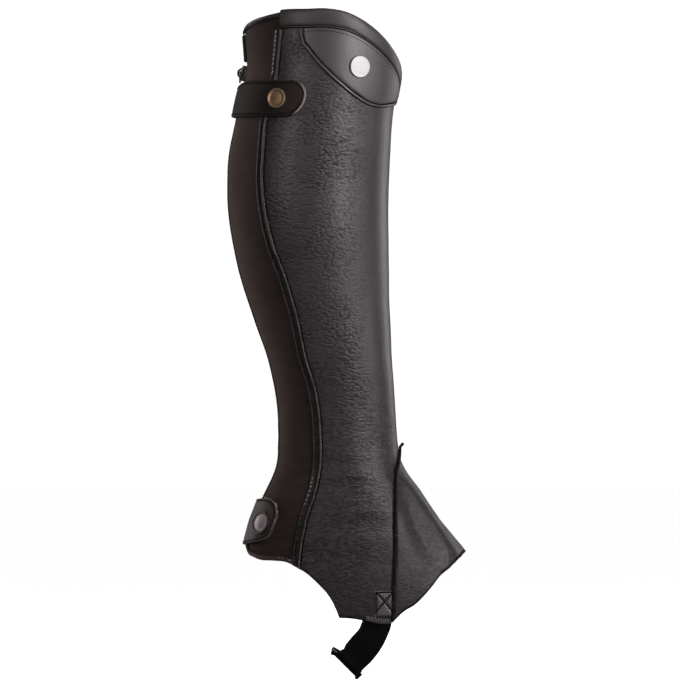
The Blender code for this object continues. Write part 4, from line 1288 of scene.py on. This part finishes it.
# place along a stitch, height of its arch there, its girth
stitchStations = [(-0.5, -0.9, 0.35), (-0.36, 0.35, 0.9), (-0.12, 1.0, 1.0),
                  (0.12, 1.0, 1.0), (0.36, 0.35, 0.9), (0.5, -0.9, 0.35)]
ring = np.radians(np.arange(0, 360, 60))


def sew(name, lines):
    # one mesh of the stitches along several (points, normals) lines, or of lone ones (middle, way, normal)
    material, pitch, long, thick, high = stitchLook[name]
    verts, faces = [], []
    for line in lines:
        middle, ahead, normal = line if len(line) == 3 else alongLine(*line, pitch)
        for m, w, n, s in zip(middle, ahead, normal, np.cross(normal, ahead)):
            base = len(verts)
            for t, arch, girth in stitchStations:
                c = m + w * t * long + n * arch * high
                for turn in ring:
                    verts.append(c + thick * girth * (math.cos(turn) * s + 0.8 * math.sin(turn) * n))
            faces += tubeFaces(base, len(stitchStations), len(ring))
    return smoothMesh(name, verts, faces, threads[material])


def onSkin(degrees, height, out):
    return skin(degrees, height, out), legNormal(degrees, height)


def seamRow(distance, top, low, out):
    height = np.linspace(top, low, 260)
    return onSkin(turned(outerDegrees(seamXAt(height), height), height, distance), height, out)


def stripStitches():
    low = float(hemAt(seamLine(0.0)(np.array(-290.0)))) + 1.5
    pale = [seamRow(2.7, 119.0, 82.0, 1.05), seamRow(2.7, -224.0, -250.0, 0.90)]
    dark = [seamRow(-3.35, 119.0, 82.0, 0.80), seamRow(2.3, 49.0, -221.0, 0.75),
            seamRow(-3.35, 49.0, low, 0.80), seamRow(2.3, -253.0, low, 0.75)]
    return sew("stripStitchesPale", pale), sew("stripStitches", dark)


def insetLine(degrees, height, distance, out):
    # a row of stitches set in from a low edge, found from the edge's own line
    base = skin(degrees, height)
    ahead = np.gradient(base, axis=0)
    ahead = unit(ahead)
    normal = legNormal(degrees, height)
    side = np.cross(normal, ahead)
    if side[len(side) // 2, 2] < 0:
        side = -side
    moved = base + side * distance
    angle = outerDegrees(moved[:, 0], moved[:, 2])
    return onSkin(np.where(moved[:, 1] > 0, -angle, angle), moved[:, 2], out)


def patchStitches():
    angles = np.linspace(104.6, -12.0, 240)
    points, normals = insetLine(angles, patchLowAt(angles), 2.8, 1.35)
    around = outerDegrees(points[:, 0], points[:, 2]) * np.where(points[:, 1] > 0, -1, 1)
    keep = points[:, 2] < belowBinding(around) - 3.4
    upper = np.linspace(101.5, -10.0, 200)
    top = onSkin(upper, belowBinding(upper) - 2.2, 1.42)
    return sew("patchStitches", [(points[keep], normals[keep]), top])


def bindingStitches():
    angles = np.linspace(120.5, -175.5, 700)
    low = [onSkin(angles, topAt(angles) - 15.0 + 1.9, 1.45)]
    narrow = np.linspace(175.0, 124.5, 160)
    low.append(onSkin(narrow, stretchEdge(narrow) - 4.5 + 1.2, 1.25))
    heel = np.linspace(173.0, float(seamLine(4.8)(np.array(-288.0))), 160)
    low.append(onSkin(heel, hemAt(heel) + 4.5 - 1.2, 1.25))
    return sew("bindingStitches", low)


def tabStitches(name, tab, out=2.0, distance=2.2):
    # round the tab's upper edge, its tip and its lower edge, and twice across its root
    straight = tab["tip"] - tab["round"]
    turns = np.radians(np.linspace(0, 88, 30))[1:]
    tip = straight + tab["round"] * np.sin(turns)
    edge = np.concatenate([np.linspace(tab["root"] + 2, straight, 70), tip])
    inward = distance * np.clip((edge - straight) / tab["round"], 0, 1)
    along = edge - inward
    stretchOut = along + distance * np.clip((along - straight) / tab["round"], 0, 1)
    lines = []
    for share, squareness in ((0.0, tab["above"]), (1.0, tab["below"])):
        inset = np.maximum(tabHalf(tab, stretchOut, squareness) - distance, 0)
        height = tabLevel(tab, along) + inset * (1 - 2 * share)
        degrees = degreesAlong(along, height)
        lines.append(onSkin(degrees, height, tabLift(tab, along) + out))
    height = tab["height"] + np.linspace(-1, 1, 30) * (tab["neck"] - distance)
    first, second = tab["root"] + distance, tab["root"] + distance + 9.0
    lines.append(onSkin(degreesAlong(first, height), height, 0.4 + out))
    lines.append(onSkin(degreesAlong(second, height), height, tabLift(tab, np.array(second)) + out))
    return sew(name, lines)


def weltStitches():
    lines = []
    for side in (1, -1):
        for distance in (1.9, -1.9):
            degrees, height = gussetSeamPlace(side, shares(300, 1.1)[10:], distance)
            lines.append(onSkin(degrees, height, 0.12))
    return sew("weltStitches", lines)


def zipStitches():
    lines = []
    for side in (1, -1):
        height = np.linspace(93.0, float(hemAt(180.0)) + 8.0, 300)
        lines.append(onSkin(side * (360.0 - turned(180.0, height, 3.5 + 2.6)), height, 0.05))
    return sew("zipStitches", lines)


# where the strap's end is sewn behind the leather: a raised square with a cross, and a bar at the hem
anchorLook = {"x": (51.4, 66.6), "z": (-333.4, -312.0), "inset": 1.3, "puff": 1.15, "seam": 1.05,
              "barX": (45.4, 65.2), "bar": 4.4}


def anchorSeams():
    (x0, x1), (z0, z1), inset = anchorLook["x"], anchorLook["z"], anchorLook["inset"]
    x0, x1, z0, z1 = x0 + inset, x1 - inset, z0 + inset, z1 - inset
    low = z0 + 4.2  # the cross ends above the lowest seam
    return [((x0, z0), (x1, z0)), ((x1, z0), (x1, z1)), ((x1, z1), (x0, z1)), ((x0, z1), (x0, z0)),
            ((x0, low), (x1, z1)), ((x1, low), (x0, z1))]


def distanceToSeams(x, z):
    best = np.full(np.broadcast(x, z).shape, 99.0)
    for (ax, az), (bx, bz) in anchorSeams():
        wayX, wayZ = bx - ax, bz - az
        t = np.clip(((x - ax) * wayX + (z - az) * wayZ) / (wayX ** 2 + wayZ ** 2), 0, 1)
        best = np.minimum(best, np.hypot(x - ax - t * wayX, z - az - t * wayZ))
    return best


def buildStrapAnchors():
    (x0, x1), (z0, z1) = anchorLook["x"], anchorLook["z"]
    made = []
    for side, name in ((1, "strapAnchorOuter"), (-1, "strapAnchorInner")):
        x = np.linspace(x0, x1, 44)[None] + np.zeros((60, 1))
        z = np.linspace(z1, z0, 60)[:, None] + 0 * x
        if side < 0:
            x = x[:, ::-1]
        near = np.minimum(np.minimum(x - x0, x1 - x), np.minimum(z - z0, z1 - z))
        puff = anchorLook["puff"] * (1 - np.exp(-(distanceToSeams(x, z) / anchorLook["seam"]) ** 2))
        degrees = side * outerDegrees(x, z)
        top = 0.15 + 0.45 * (1 - roundedEdge(near, 0.9)) + puff * np.clip(near / 1.0, 0, 1)
        faces = (skin(degrees, z, top), skin(degrees, z, 0.05), near + 2)
        made.append(closedSheet(name, [faces], anchorLeather, flesh))
    return made


def anchorStitches():
    rows, bars = [], []
    for side in (1, -1):
        for (ax, az), (bx, bz) in anchorSeams():
            x, z = np.linspace(ax, bx, 30), np.linspace(az, bz, 30)
            rows.append(onSkin(side * outerDegrees(x, z), z, 0.62))
        x = np.arange(*anchorLook["barX"], 1.25)
        low, high = hemFromSide(x) + 0.5, hemFromSide(x) + anchorLook["bar"]
        foot = skin(side * outerDegrees(x, low), low, 0.12)
        head = skin(side * outerDegrees(x + 0.5, high), high, 0.12)
        way = unit(head - foot)
        middle = (low + high) / 2
        bars.append(((head + foot) / 2, way, legNormal(side * outerDegrees(x, middle), middle)))
    return sew("anchorStitches", rows), sew("hemBarStitches", bars)


stripPale, stripDark = stripStitches()
patchRow, bindingRow = patchStitches(), bindingStitches()
upperTabRow = tabStitches("upperTabStitches", upperTabShape)
lowerTabRow = tabStitches("lowerTabStitches", lowerTabShape)
weltRow, zipRow = weltStitches(), zipStitches()
strapAnchors = buildStrapAnchors()
boxRow, barRow = anchorStitches()
print("stitches on")


# ---- the zip ----

zipLook = {"top": 92.6, "tapeHalf": 12.0, "tapeBack": 2.8, "tapeThick": 1.0, "pitch": 1.35, "half": 2.55,
           "wire": 0.46}


def buildZipTape():
    low = float(hemAt(180.0)) + 5.5
    height = np.linspace(zipLook["top"], low, 220)[:, None]
    reach = np.linspace(zipLook["tapeHalf"], -zipLook["tapeHalf"], 17)[None]
    degrees = 360.0 - turned(180.0, height, reach)
    face = skin(degrees, height, -zipLook["tapeBack"])
    rear = skin(degrees, height, -zipLook["tapeBack"] - zipLook["tapeThick"])
    made = closedSheet("zipTape", [(face, rear, np.full(face.shape[:2], 5.0))], tape, tape)
    return dress(made, "zip_tape", "zip_tape")


def buildZipCoil():
    # loops from both sides that meet in the middle
    low = float(hemAt(180.0)) + 4.0
    levels = np.arange(low + 0.8, zipLook["top"] - 0.8, zipLook["pitch"])
    middle = skin(180.0 + 0 * levels, levels, -0.75)
    out = legNormal(180.0 + 0 * levels, levels)
    up = np.gradient(middle, axis=0)
    up = unit(up)
    side = np.array([0.0, 1.0, 0.0])
    half = zipLook["half"]
    # across and out of the back, round one loop
    path = np.array([(half, -1.0), (half + 0.15, 0.0), (half - 0.5, 0.85), (1.2, 1.0), (0.1, 0.75),
                     (-0.35, 0.1), (0.3, -0.9)])
    verts, faces = [], []
    for k in range(len(levels)):
        for way in (1, -1):
            shift = up[k] * (zipLook["pitch"] / 2 if way < 0 else 0)
            line = np.array([middle[k] + shift + side * way * a + out[k] * b for a, b in path])
            ahead = np.gradient(line, axis=0)
            ahead = unit(ahead)
            base = len(verts)
            for point, w in zip(line, ahead):
                s = np.cross(w, up[k])
                s = s / np.linalg.norm(s)
                for turn in ring:
                    verts.append(point + zipLook["wire"] * (math.cos(turn) * up[k] + math.sin(turn) * s))
            faces += [face[::way] for face in tubeFaces(base, len(line), len(ring))]
    made = smoothMesh("zipCoil", verts, faces, threads["coilNylon"])
    return dress(made, "zip_coil", "zip_chain")


zipTape, zipCoil = buildZipTape(), buildZipCoil()
print("zip on")


# ---- metal, modelled at the origin and then set in place ----

def nothingSelected():
    if bpy.context.object and bpy.context.object.mode != "OBJECT":
        bpy.ops.object.mode_set(mode="OBJECT")
    bpy.ops.object.select_all(action="DESELECT")


def chooseFaces(piece, test):
    # selects the faces that pass a test, in edit mode
    bpy.ops.object.mode_set(mode="OBJECT")
    for part in (piece.data.vertices, piece.data.edges, piece.data.polygons):
        part.foreach_set("select", np.zeros(len(part), bool))
    for face in piece.data.polygons:
        face.select = bool(test(face))
    bpy.ops.object.mode_set(mode="EDIT")


def finishHard(piece, place, bevel, levels, materialNames, slotName, body, nodes, chooser=None):
    bpy.ops.object.mode_set(mode="OBJECT")
    if bevel:
        m = piece.modifiers.new("bevel", "BEVEL")
        m.width, m.segments, m.limit_method, m.angle_limit = bevel, 2, "ANGLE", math.radians(35)
        bpy.ops.object.modifier_apply(modifier=m.name)
    if levels:
        m = piece.modifiers.new("smooth", "SUBSURF")
        m.levels = m.render_levels = levels
        bpy.ops.object.modifier_apply(modifier=m.name)
    bpy.ops.object.shade_smooth_by_angle(angle=math.radians(40))
    for name in materialNames:
        piece.data.materials.append(metals[name])
    if chooser:
        for face in piece.data.polygons:
            face.material_index = chooser(face)
    piece.data.transform(place)
    piece.data.update()
    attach(piece, body)
    dress(piece, slotName, *nodes)
    nothingSelected()
    return piece


def placeOn(degrees, height, out):
    # Z straight out of the leather, at this place
    normal = Vector(legNormal(degrees, height))
    turn = normal.to_track_quat("Z", "Y").to_matrix().to_4x4()
    return Matrix.Translation(Vector(skin(degrees, height, out)) * mm) @ turn


capLook = {
    "upperSnap": {"radius": 7.6, "high": 2.3, "rim": 1.5, "well": 0.7, "dome": 0.35, "round": 0.00035},
    "lowerSnap": {"radius": 9.2, "high": 1.9, "rim": 2.3, "well": 0.5, "dome": 1.0, "round": 0.00035},
    "kneeStud": {"radius": 8.8, "high": 2.0, "rim": 0.7, "well": 0.12, "dome": 0.22, "round": 0.0004},
}


def buildCap(name, place, materialNames, slotName, node):
    nothingSelected()
    look = capLook[name]
    radius, high = look["radius"] * mm, look["high"] * mm
    bpy.ops.mesh.primitive_cylinder_add(vertices=72, radius=radius, depth=high, location=(0, 0, high / 2))
    cap = bpy.context.object
    cap.name = cap.data.name = name

    def upFacing(face):
        return face.normal.z > 0.9 and face.center.z > high * 0.4 and face.area > radius * radius * 0.4

    chooseFaces(cap, upFacing)
    bpy.ops.mesh.inset(thickness=look["rim"] * mm)
    bpy.ops.transform.translate(value=(0, 0, -look["well"] * 0.15 * mm))
    bpy.ops.mesh.inset(thickness=0.35 * mm)
    bpy.ops.transform.translate(value=(0, 0, -look["well"] * 0.85 * mm))
    for _ in range(3):
        bpy.ops.mesh.inset(thickness=radius * 0.17)
        bpy.ops.transform.translate(value=(0, 0, look["dome"] * mm / 3))
    inner = radius - look["rim"] * mm - 0.1 * mm

    def onFace(face):
        return int(math.hypot(face.center.x, face.center.y) < inner and face.normal.z > 0.2)

    return finishHard(cap, place, look["round"], 0, materialNames, slotName, "chap", [node], onFace)


# millimetres: each tab's leather, and the gaps under tabs, caps and patch
capSeat = {"tabGap": 0.4, "tabThick": 2.2, "capGap": 0.25, "patchGap": 0.3, "studGap": 0.4}
alongLower, levelLower = 23.0, -261.8  # the lower snap on its tab
upperOut = capSeat["tabGap"] + upperTabShape["lift"] + capSeat["tabThick"] + capSeat["capGap"]
lowerOut = float(tabLift(lowerTabShape, np.array(alongLower))) + capSeat["tabThick"] + capSeat["capGap"]
studOut = capSeat["patchGap"] + overlayLook["thick"] + capSeat["studGap"]
lowerPlace = placeOn(float(degreesAlong(alongLower, levelLower)), levelLower, lowerOut)
buildCap("upperSnap", placeOn(117.4, 64.7, upperOut), ("brassRim", "agedBrass"), "brass", "upper_snap")
buildCap("lowerSnap", lowerPlace, ("darkRing", "mauveDish"), "gunmetal", "lower_snap")
buildCap("kneeStud", placeOn(60.0, 89.6, studOut), ("studShadowRim", "silverStud"), "silver", "knee_stud")
print("caps on")


sliderLook = {"height": 86.2, "thick": 2.0, "wide": 8.4, "long": 12.0, "tip": 0.62, "bodyThick": 3.5,
              "bailLong": 7.6, "bailHigh": 3.6, "wire": 0.72, "bailWide": 1.6}
pullLook = {"wide": 5.0, "long": 9.6, "thick": 1.4, "bar": 0.5, "holeWide": 3.0, "holeLong": 5.4}


def sliderPlace():
    # out of the back, across it and up the zip
    outward = Vector(legNormal(180.0, sliderLook["height"]))
    across = Vector((0.0, 1.0, 0.0))
    upward = across.cross(outward)
    upward = upward if upward.z > 0 else -upward
    turn = Matrix((outward, upward.cross(outward), upward)).transposed().to_4x4()
    return Matrix.Translation(Vector(skin(180.0, sliderLook["height"], 0.7)) * mm) @ turn


def buildSlider():
    nothingSelected()
    thick, wide, long = sliderLook["bodyThick"] * mm, sliderLook["wide"] * mm, sliderLook["long"] * mm
    bpy.ops.mesh.primitive_cube_add(size=1.0, location=(0, 0, 0))
    slider = bpy.context.object
    slider.name = slider.data.name = "zipSlider"
    bpy.ops.object.mode_set(mode="EDIT")
    bpy.ops.mesh.select_all(action="SELECT")
    bpy.ops.transform.resize(value=(thick, wide, long))
    bpy.ops.transform.translate(value=(thick / 2, 0, 0))
    bpy.ops.mesh.subdivide(number_cuts=5)
    bpy.ops.object.mode_set(mode="OBJECT")
    for v in slider.data.vertices:  # shoulders above, narrow mouth below, crowned face
        t = (v.co.z + long / 2) / long
        v.co.y *= sliderLook["tip"] + (1 - sliderLook["tip"]) * float(smoothStep(t * 1.15))
        if v.co.x > thick * 0.5:
            v.co.x -= thick * 0.28 * ((v.co.y / (wide / 2)) ** 2 + (2 * v.co.z / long) ** 4)

    def midFace(face):
        inside = abs(face.center.y) < wide * 0.2 and abs(face.center.z) < long * 0.28
        return inside and face.normal.x > 0.7

    chooseFaces(slider, midFace)
    bpy.ops.mesh.inset(thickness=0.35 * mm)
    bpy.ops.transform.translate(value=(-0.25 * mm, 0, 0))
    return finishHard(slider, sliderPlace(), 0.00028, 1, ("gunmetal",), "gunmetal", "chap", ["zip_slider"])


def buildBail():
    nothingSelected()
    half, high, wire = sliderLook["bailLong"] / 2 * mm, sliderLook["bailHigh"] * mm, sliderLook["wire"] * mm
    bpy.ops.mesh.primitive_circle_add(vertices=12, radius=wire, location=(0, 0, half))
    bail = bpy.context.object
    bail.name = bail.data.name = "zipBail"
    bpy.ops.object.transform_apply(location=True)
    bpy.ops.object.mode_set(mode="EDIT")
    bpy.ops.mesh.select_all(action="SELECT")
    bpy.ops.transform.rotate(value=math.radians(90), orient_axis="X", center_override=(0, 0, half))
    bpy.ops.transform.rotate(value=math.radians(90), orient_axis="Z", center_override=(0, 0, half))
    bpy.ops.mesh.spin(steps=24, angle=math.pi, center=(0, 0, 0), axis=(0, -1, 0))
    bpy.ops.mesh.select_all(action="SELECT")
    bpy.ops.mesh.fill_holes(sides=0)
    bpy.ops.mesh.normals_make_consistent(inside=False)
    bpy.ops.object.mode_set(mode="OBJECT")
    for v in bail.data.vertices:  # a flat arch, its feet sunk in the slider
        v.co.x = (sliderLook["thick"] - 0.6) * mm + v.co.x * (high + 0.6 * mm) / half
        v.co.y *= sliderLook["bailWide"]
    return finishHard(bail, sliderPlace(), 0, 0, ("gunmetal",), "gunmetal", "chap", [])


def buildPull():
    nothingSelected()
    wide, long, thick, bar = [pullLook[k] * mm for k in ("wide", "long", "thick", "bar")]
    bpy.ops.mesh.primitive_cube_add(size=1.0, location=(0, 0, 0))
    pull = bpy.context.object
    pull.name = pull.data.name = "zipPull"
    bpy.ops.object.mode_set(mode="EDIT")
    bpy.ops.mesh.select_all(action="SELECT")
    bpy.ops.transform.resize(value=(thick, wide, long))
    bpy.ops.transform.translate(value=(0, 0, bar - long / 2))
    holeHalf, holeLow = pullLook["holeWide"] / 2 * mm, -(pullLook["bar"] + pullLook["holeLong"]) * mm
    cuts = [((0, 0, level), (0, 0, 1)) for level in (-bar, holeLow)]
    cuts += [((0, aside, 0), (0, 1, 0)) for aside in (holeHalf, -holeHalf)]
    for place, normal in cuts:
        bpy.ops.mesh.select_all(action="SELECT")
        bpy.ops.mesh.bisect(plane_co=place, plane_no=normal)

    def windowFace(face):
        inside = abs(face.center.y) < holeHalf and holeLow < face.center.z < -bar
        return inside and abs(face.normal.x) > 0.9

    chooseFaces(pull, windowFace)
    bpy.ops.mesh.bridge_edge_loops()
    bpy.ops.object.mode_set(mode="OBJECT")
    for v in pull.data.vertices:  # a rounded foot
        if v.co.z < holeLow - 1.5 * mm:
            v.co.y *= 0.72
    bpy.ops.object.mode_set(mode="EDIT")
    bpy.ops.mesh.select_all(action="SELECT")
    bpy.ops.mesh.normals_make_consistent(inside=False)
    axis = Matrix.Translation(Vector(frame["joints"][0]["pos_m"]))
    return finishHard(pull, axis, 0.00022, 0, ("gunmetal",), "gunmetal", "pull", ["zip_pull"])


buildSlider()
buildBail()
buildPull()
print("slider and pull on")


# ---- what each sheet was cut to ----

# piece, flat width and length, flat area where the cut is no rectangle, how it is held, what it lies on,
# what goes with it
clothCuts = [
    (mainPanel, (0.375, 0.475), 0.1050, "stretched", [], [patchRow, boxRow, barRow, zipRow]),
    (stretchPanel, (0.070, 0.425), 0.0212, "stretched", [], []),
    (instepGusset, (0.150, 0.130), 0.0105, "stretched", [], [weltRow, hemRoll]),
    (kneePatch, (0.110, 0.060), 0.0037, "laid", ["mainPanel"], []),
    (seamStrip, (0.010, 0.430), 0.0037, "laid", ["mainPanel", "stretchPanel"], [stripPale, stripDark]),
    (topBinding, (0.032, 0.330), None, "folded", ["mainPanel"], [bindingRow]),
    (stretchBinding, (0.014, 0.058), None, "folded", ["stretchPanel"], []),
    (heelBinding, (0.014, 0.054), None, "folded", ["stretchPanel"], []),
    (upperTab, (0.028, 0.125), 0.0032, "laid", ["mainPanel", "stretchPanel"], [upperTabRow]),
    (lowerTab, (0.034, 0.060), 0.0020, "laid", ["mainPanel", "stretchPanel"], [lowerTabRow]),
    (footStrap, (0.025, 0.215), None, "stretched", ["mainPanel"], []),
    (zipTape, (0.024, 0.375), None, "stretched", ["mainPanel", "stretchPanel"], [zipCoil]),
    (facings[0], (0.012, 0.017), 0.00009, "laid", ["stretchPanel"], []),
    (facings[1], (0.010, 0.010), 0.000035, "laid", ["mainPanel"], []),
    *[(anchor, (0.016, 0.022), None, "laid", ["mainPanel"], []) for anchor in strapAnchors],
]
for piece, flat, area, held, restsOn, going in clothCuts:
    total = sum(face.area for face in piece.data.polygons) / 2
    print(f"{piece.name}: {total * 1e4:.1f} cm2 of {(area or flat[0] * flat[1]) * 1e4:.1f}")


# ---- floor, light and camera ----

roomLook = {"floor": -0.392, "white": (0.90, 0.90, 0.90), "glow": 0.92, "sky": 0.085, "dome": 13.0}
lightTint = (1.0, 0.935, 0.950)

# name, degrees to the right of the camera, distance, height, width, tall, power, height aimed at,
# spread in degrees
softboxes = [
    ("keySoftbox", 47.0, 2.2, 0.62, 0.45, 1.0, 1.00, 0.07, 36),
    ("footSoftbox", 46.0, 1.7, 1.45, 0.40, 0.3, 0.38, -0.28, 24),
    ("lowKeySoftbox", 74.0, 2.2, 0.05, 0.50, 0.9, 8.2, -0.12, 180),
    ("frontSoftbox", 8.0, 3.0, 1.40, 1.60, 1.0, 7.2, -0.12, 180),
    ("leftSoftbox", -28.0, 2.3, 0.55, 0.90, 0.5, 0.40, 0.06, 24),
    ("topKeySoftbox", 46.0, 1.5, 0.34, 0.50, 0.3, 0.36, 0.10, 30),
    ("instepSoftbox", 86.0, 1.5, 1.90, 0.50, 0.5, 1.4, -0.12, 180),
    ("rightEdgeSoftbox", 132.0, 1.9, 0.35, 0.50, 1.2, 7.5, -0.12, 180),
    ("leftEdgeSoftbox", -122.0, 2.0, 0.20, 0.50, 1.6, 17.0, -0.12, 180),
    ("farSoftbox", 178.0, 3.0, 1.20, 1.80, 1.2, 40.0, -0.12, 180),
]


def whiteStage(piece, glow):
    made, make, shader = startMaterial(piece.name)
    connect(shader, made.node_tree, colour=(*roomLook["white"], 1), roughness=0.9)
    shader.inputs["Emission Color"].default_value = (1, 1, 1, 1)
    shader.inputs["Emission Strength"].default_value = glow
    piece.data.materials.append(made)
    # the softboxes alone light the leather
    piece.visible_diffuse = piece.visible_glossy = piece.visible_shadow = False
    nothingSelected()


def buildRoom():
    nothingSelected()
    bpy.ops.mesh.primitive_circle_add(vertices=64, radius=roomLook["dome"] - 0.4, fill_type="NGON",
                                      location=(0, 0, roomLook["floor"]))
    floor = bpy.context.object
    floor.name = floor.data.name = "paleFloor"
    whiteStage(floor, roomLook["glow"])
    bpy.ops.mesh.primitive_uv_sphere_add(segments=48, ring_count=24, radius=roomLook["dome"])
    dome = bpy.context.object
    dome.name = dome.data.name = "paleBackdrop"
    dome.data.flip_normals()
    whiteStage(dome, 1.0)


def buildLight():
    middle = Vector((0.02, 0.0, -0.12))
    for name, side, far, high, wide, tall, power, aim, spread in softboxes:
        turn = math.radians(side)
        data = bpy.data.lights.new(name, "AREA")
        data.shape = "RECTANGLE"
        data.size, data.size_y = wide, tall
        data.energy = power
        data.color = lightTint
        data.spread = math.radians(spread)
        lamp = bpy.data.objects.new(name, data)
        lamp.location = middle + Vector((far * math.sin(turn), -far * math.cos(turn), high))
        target = Vector((middle.x, middle.y, aim))
        lamp.rotation_euler = (target - lamp.location).to_track_quat("-Z", "Y").to_euler()
        bpy.context.scene.collection.objects.link(lamp)
    world = bpy.data.worlds.new("softRoom")
    world.use_nodes = True
    world.node_tree.nodes["Background"].inputs["Color"].default_value = (*lightTint, 1)
    world.node_tree.nodes["Background"].inputs["Strength"].default_value = roomLook["sky"]
    bpy.context.scene.world = world


# millimetres a pixel, pixels, millimetres of lens and sensor, metres to the near half
cameraLook = {"pixel": 0.77, "side": 680, "lens": 600.0, "sensor": 36.0, "nearPlane": -0.025,
              "originColumn": 307.5, "originRow": 185}


def buildCamera():
    # 0.77 mm a pixel, from far away and level; the scale holds at the plane of the leg's near half
    look = cameraLook
    pixel, side = look["pixel"] * mm, look["side"]
    data = bpy.data.cameras.new("camera")
    data.lens = look["lens"]
    distance = data.lens / look["sensor"] * pixel * side
    data.clip_end = 50
    camera = bpy.data.objects.new("camera", data)
    x, z = (side / 2 - look["originColumn"]) * pixel, (look["originRow"] - side / 2) * pixel
    camera.location = (x, look["nearPlane"] - distance, z)
    camera.rotation_euler = (math.radians(90), 0, 0)
    bpy.context.scene.collection.objects.link(camera)
    bpy.context.scene.camera = camera


buildRoom()
buildLight()
buildCamera()
bpy.context.scene.view_settings.view_transform = "Standard"
print("room, light and camera ready")
